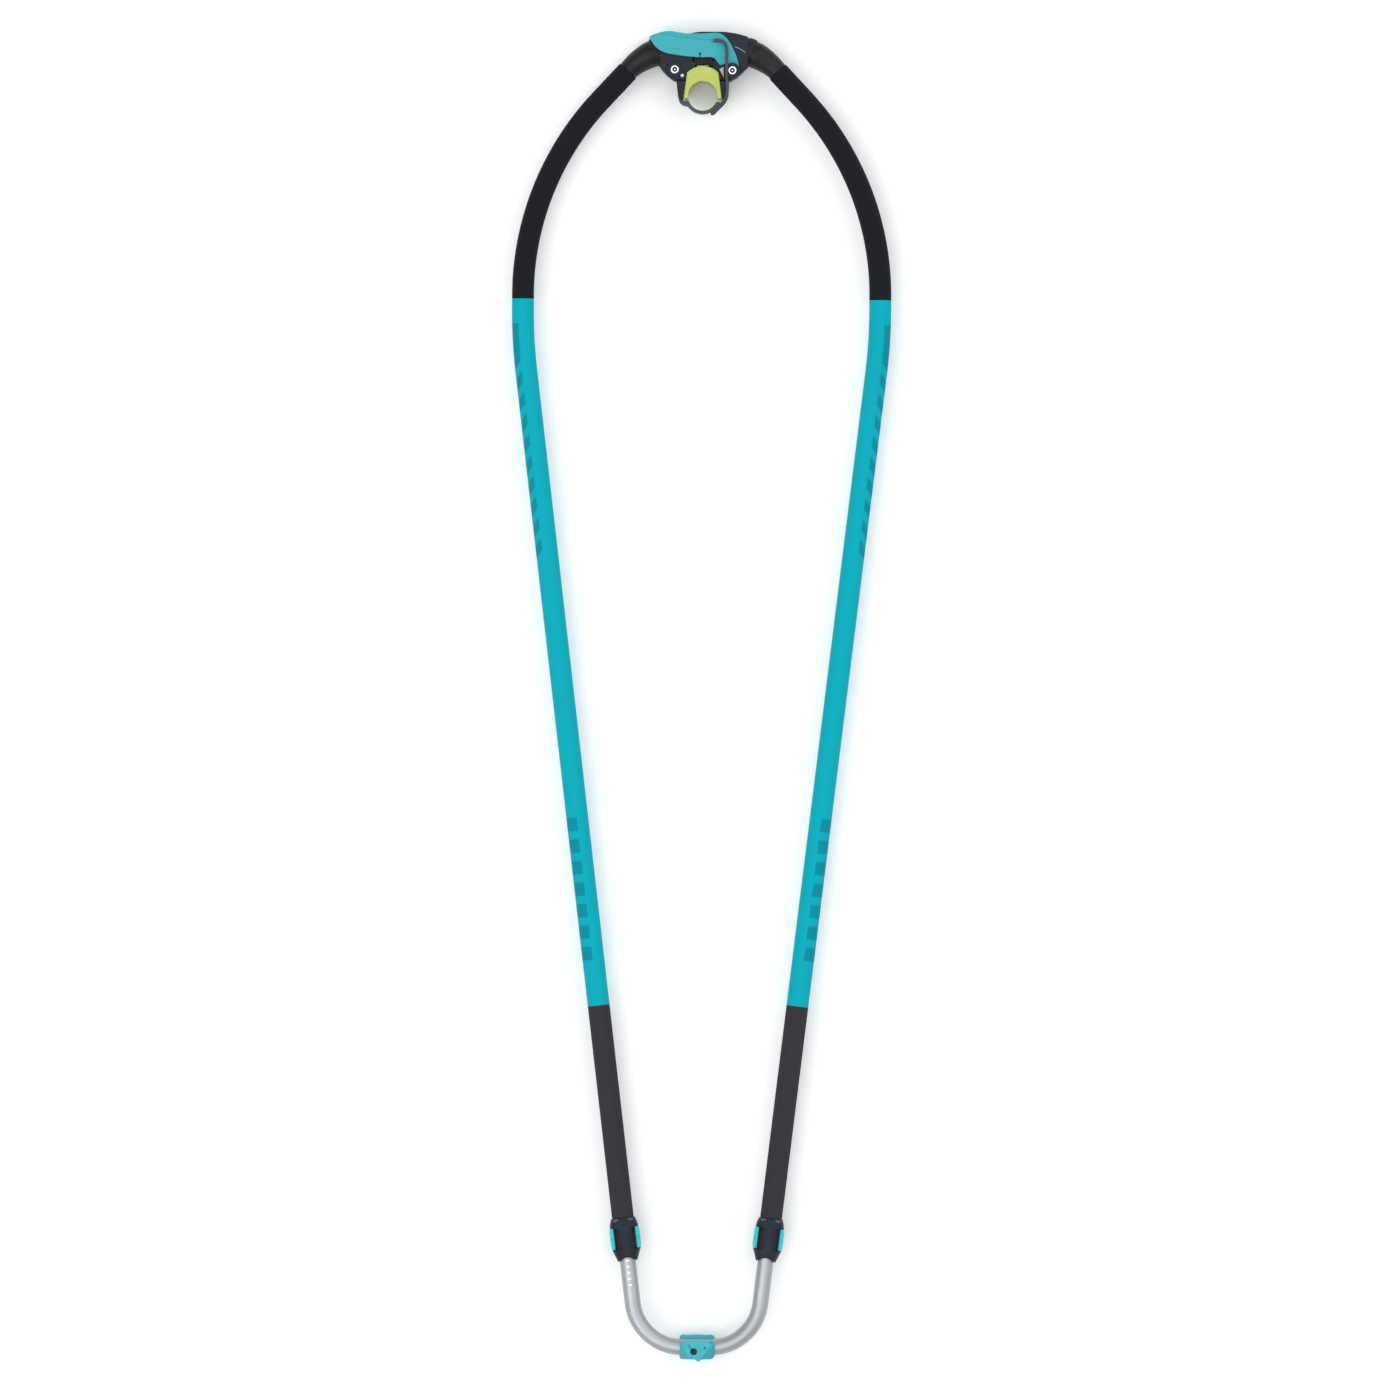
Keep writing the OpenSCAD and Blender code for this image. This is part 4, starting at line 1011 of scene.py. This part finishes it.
cut(upper, tube, addDisc("well", x, y, 14, 20, fitting["screwWell"], 48),
    addDisc("hole", x, y, -1, 20, 2.1, 32),
    addPlate("chase", [(x - 3.4, y - 1), (x + 0.4, y - 3), (x - 4.4, tailY - 24), (x - 8, tailY - 24)],
             15, 20),
    addPlate("slot", [(x - 8.6, y + 9.4), (x - 6.4, y + 10.6), (x - 1.6, y + 3.6), (x - 4, y + 2.6)],
             14.6, 20),
    addPlate("oval", [(13 + 1.5 * math.cos(a / 8 * math.pi), tailY - 0.6 + 2.4 * math.sin(a / 8 * math.pi))
                      for a in range(16)], 13.5, 20),
    addDisc("dimple", 22.6, tailY + 8.9, 13.6, 20, 3, 32))
finish(upper, "tail", ["outhaul_shell_upper"], "outhaul_plastic", fittingNylon, fittingShade)
outline = softOutline([(x, y + tailY) for x, y in fitting["lower"]], 1.8)
lowerShell = addPlate("outhaulLower", outline, fitting["bottom"], -0.05)
bevelRim(lowerShell, fitting["bottom"], 1.2, 3)
cut(lowerShell, tubeTwin, addBlock("front", (-40, tailY + 6, -6), (40, tailY + 30, 1)),
    *[addBlock("slot", (x - 4.8, tailY - 6, -30), (x + 4.8, tailY + 30, -13.6)) for x in fitting["sheaves"]],
    addDisc("hole", x, y, -30, 1, 2.1, 32))
finish(lowerShell, "tail", ["outhaul_shell_lower"], "outhaul_plastic", fittingNylon)
piece = addDisc("outhaulScrew", x, y, 14, 16, 4.9)
bevelRim(piece, 16, 0.6, 3)
cut(piece, addDisc("shank", x, y, -26, 14.2, 2, 24), how="UNION")
cut(piece, addDisc("socket", x, y, 14.4, 18, 2.4, 6))
finish(piece, "tail", ["outhaul_screw"], "dark_screw", darkSteelAndSocketShade)
sheave = [(-4.5, 2.1), (-4.5, 5.6), (-4.1, 6), (-3.4, 5.9), (-1.2, 4.7), (1.2, 4.7), (3.4, 5.9), (4.1, 6),
          (4.5, 5.6), (4.5, 2.1), (-4.5, 2.1)]
for x, word in zip(fitting["sheaves"], ("left", "right")):
    rings = [[Vector((x + across, tailY + 1 + r * math.cos(2 * math.pi * j / 48),
                      fitting["sheaveZ"] + r * math.sin(2 * math.pi * j / 48))) * mm for j in range(48)]
             for across, r in sheave]
    piece = addSkin("sheave_" + word, rings, [across * mm for across, r in sheave], 2 * math.pi * 6 * mm)
    finish(piece, "sheave_" + word, ["roller_" + word], "bush_plastic", acetal)
print("outhaul done")

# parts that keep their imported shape, with real finishes
keptFinishes = ((armAlloy, ("arm_tube_left", "arm_tube_right")),
                (acetal, ("lock_bush_left", "lock_bush_right")),
                (darkSteelAndSocketShade, ("rocker_pins_left", "rocker_pins_right", "lock_screws")),
                (steel, ("lever_bushes", "strap_pin", "rocker_springs_left", "rocker_springs_right",
                         "roller_pin")))
for material, names in keptFinishes:
    for name in names:
        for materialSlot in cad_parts[name].material_slots:
            materialSlot.material = material

# pale floor and soft light
studio = {"floor": "#f6f7f7", "world": 0.62 * exposure, "keyStrength": 1.15 * exposure,
          "fillStrength": 0.75 * exposure}
deselect()
bpy.ops.mesh.primitive_plane_add(size=40, location=(0, -0.9, cadBox[0][2] - 0.0005))
floor = bpy.context.object
floor.name = "floor"
material, tree, shader = startMaterial("paintedFloor", {"colour": studio["floor"], "gloss": 0.1})
where = addNode(tree, "TexCoord", out="Object")
cloud = addNode(tree, "TexNoise", {"Vector": where, "Scale": 3.0})
shade = addNode(tree, "MapRange", {"Value": cloud, "To Min": 0.985, "To Max": 1.0})
tint = addNode(tree, "VectorMath", {0: linear(studio["floor"], False)[:3], "Scale": shade}, operation="SCALE")
setInputs(shader, {"Base Color": tint, "Roughness": 0.9})
floor.data.materials.append(material)
world = bpy.data.worlds.new("studioWorld")
world.use_nodes = True
setInputs(world.node_tree.nodes["Background"], {"Color": (0.98, 0.99, 1, 1), "Strength": studio["world"]})
bpy.context.scene.world = world
for name, strength, angle, rotation in (("keySoftbox", studio["keyStrength"], 60, (12, -24, 0)),
                                        ("fillSoftbox", studio["fillStrength"], 70, (-20, 34, 0))):
    lamp = bpy.data.lights.new(name, "SUN")
    lamp.energy = strength
    lamp.angle = math.radians(angle)
    light = bpy.data.objects.new(name, lamp)
    light.rotation_euler = [math.radians(a) for a in rotation]
    bpy.context.scene.collection.objects.link(light)
print("studio done")
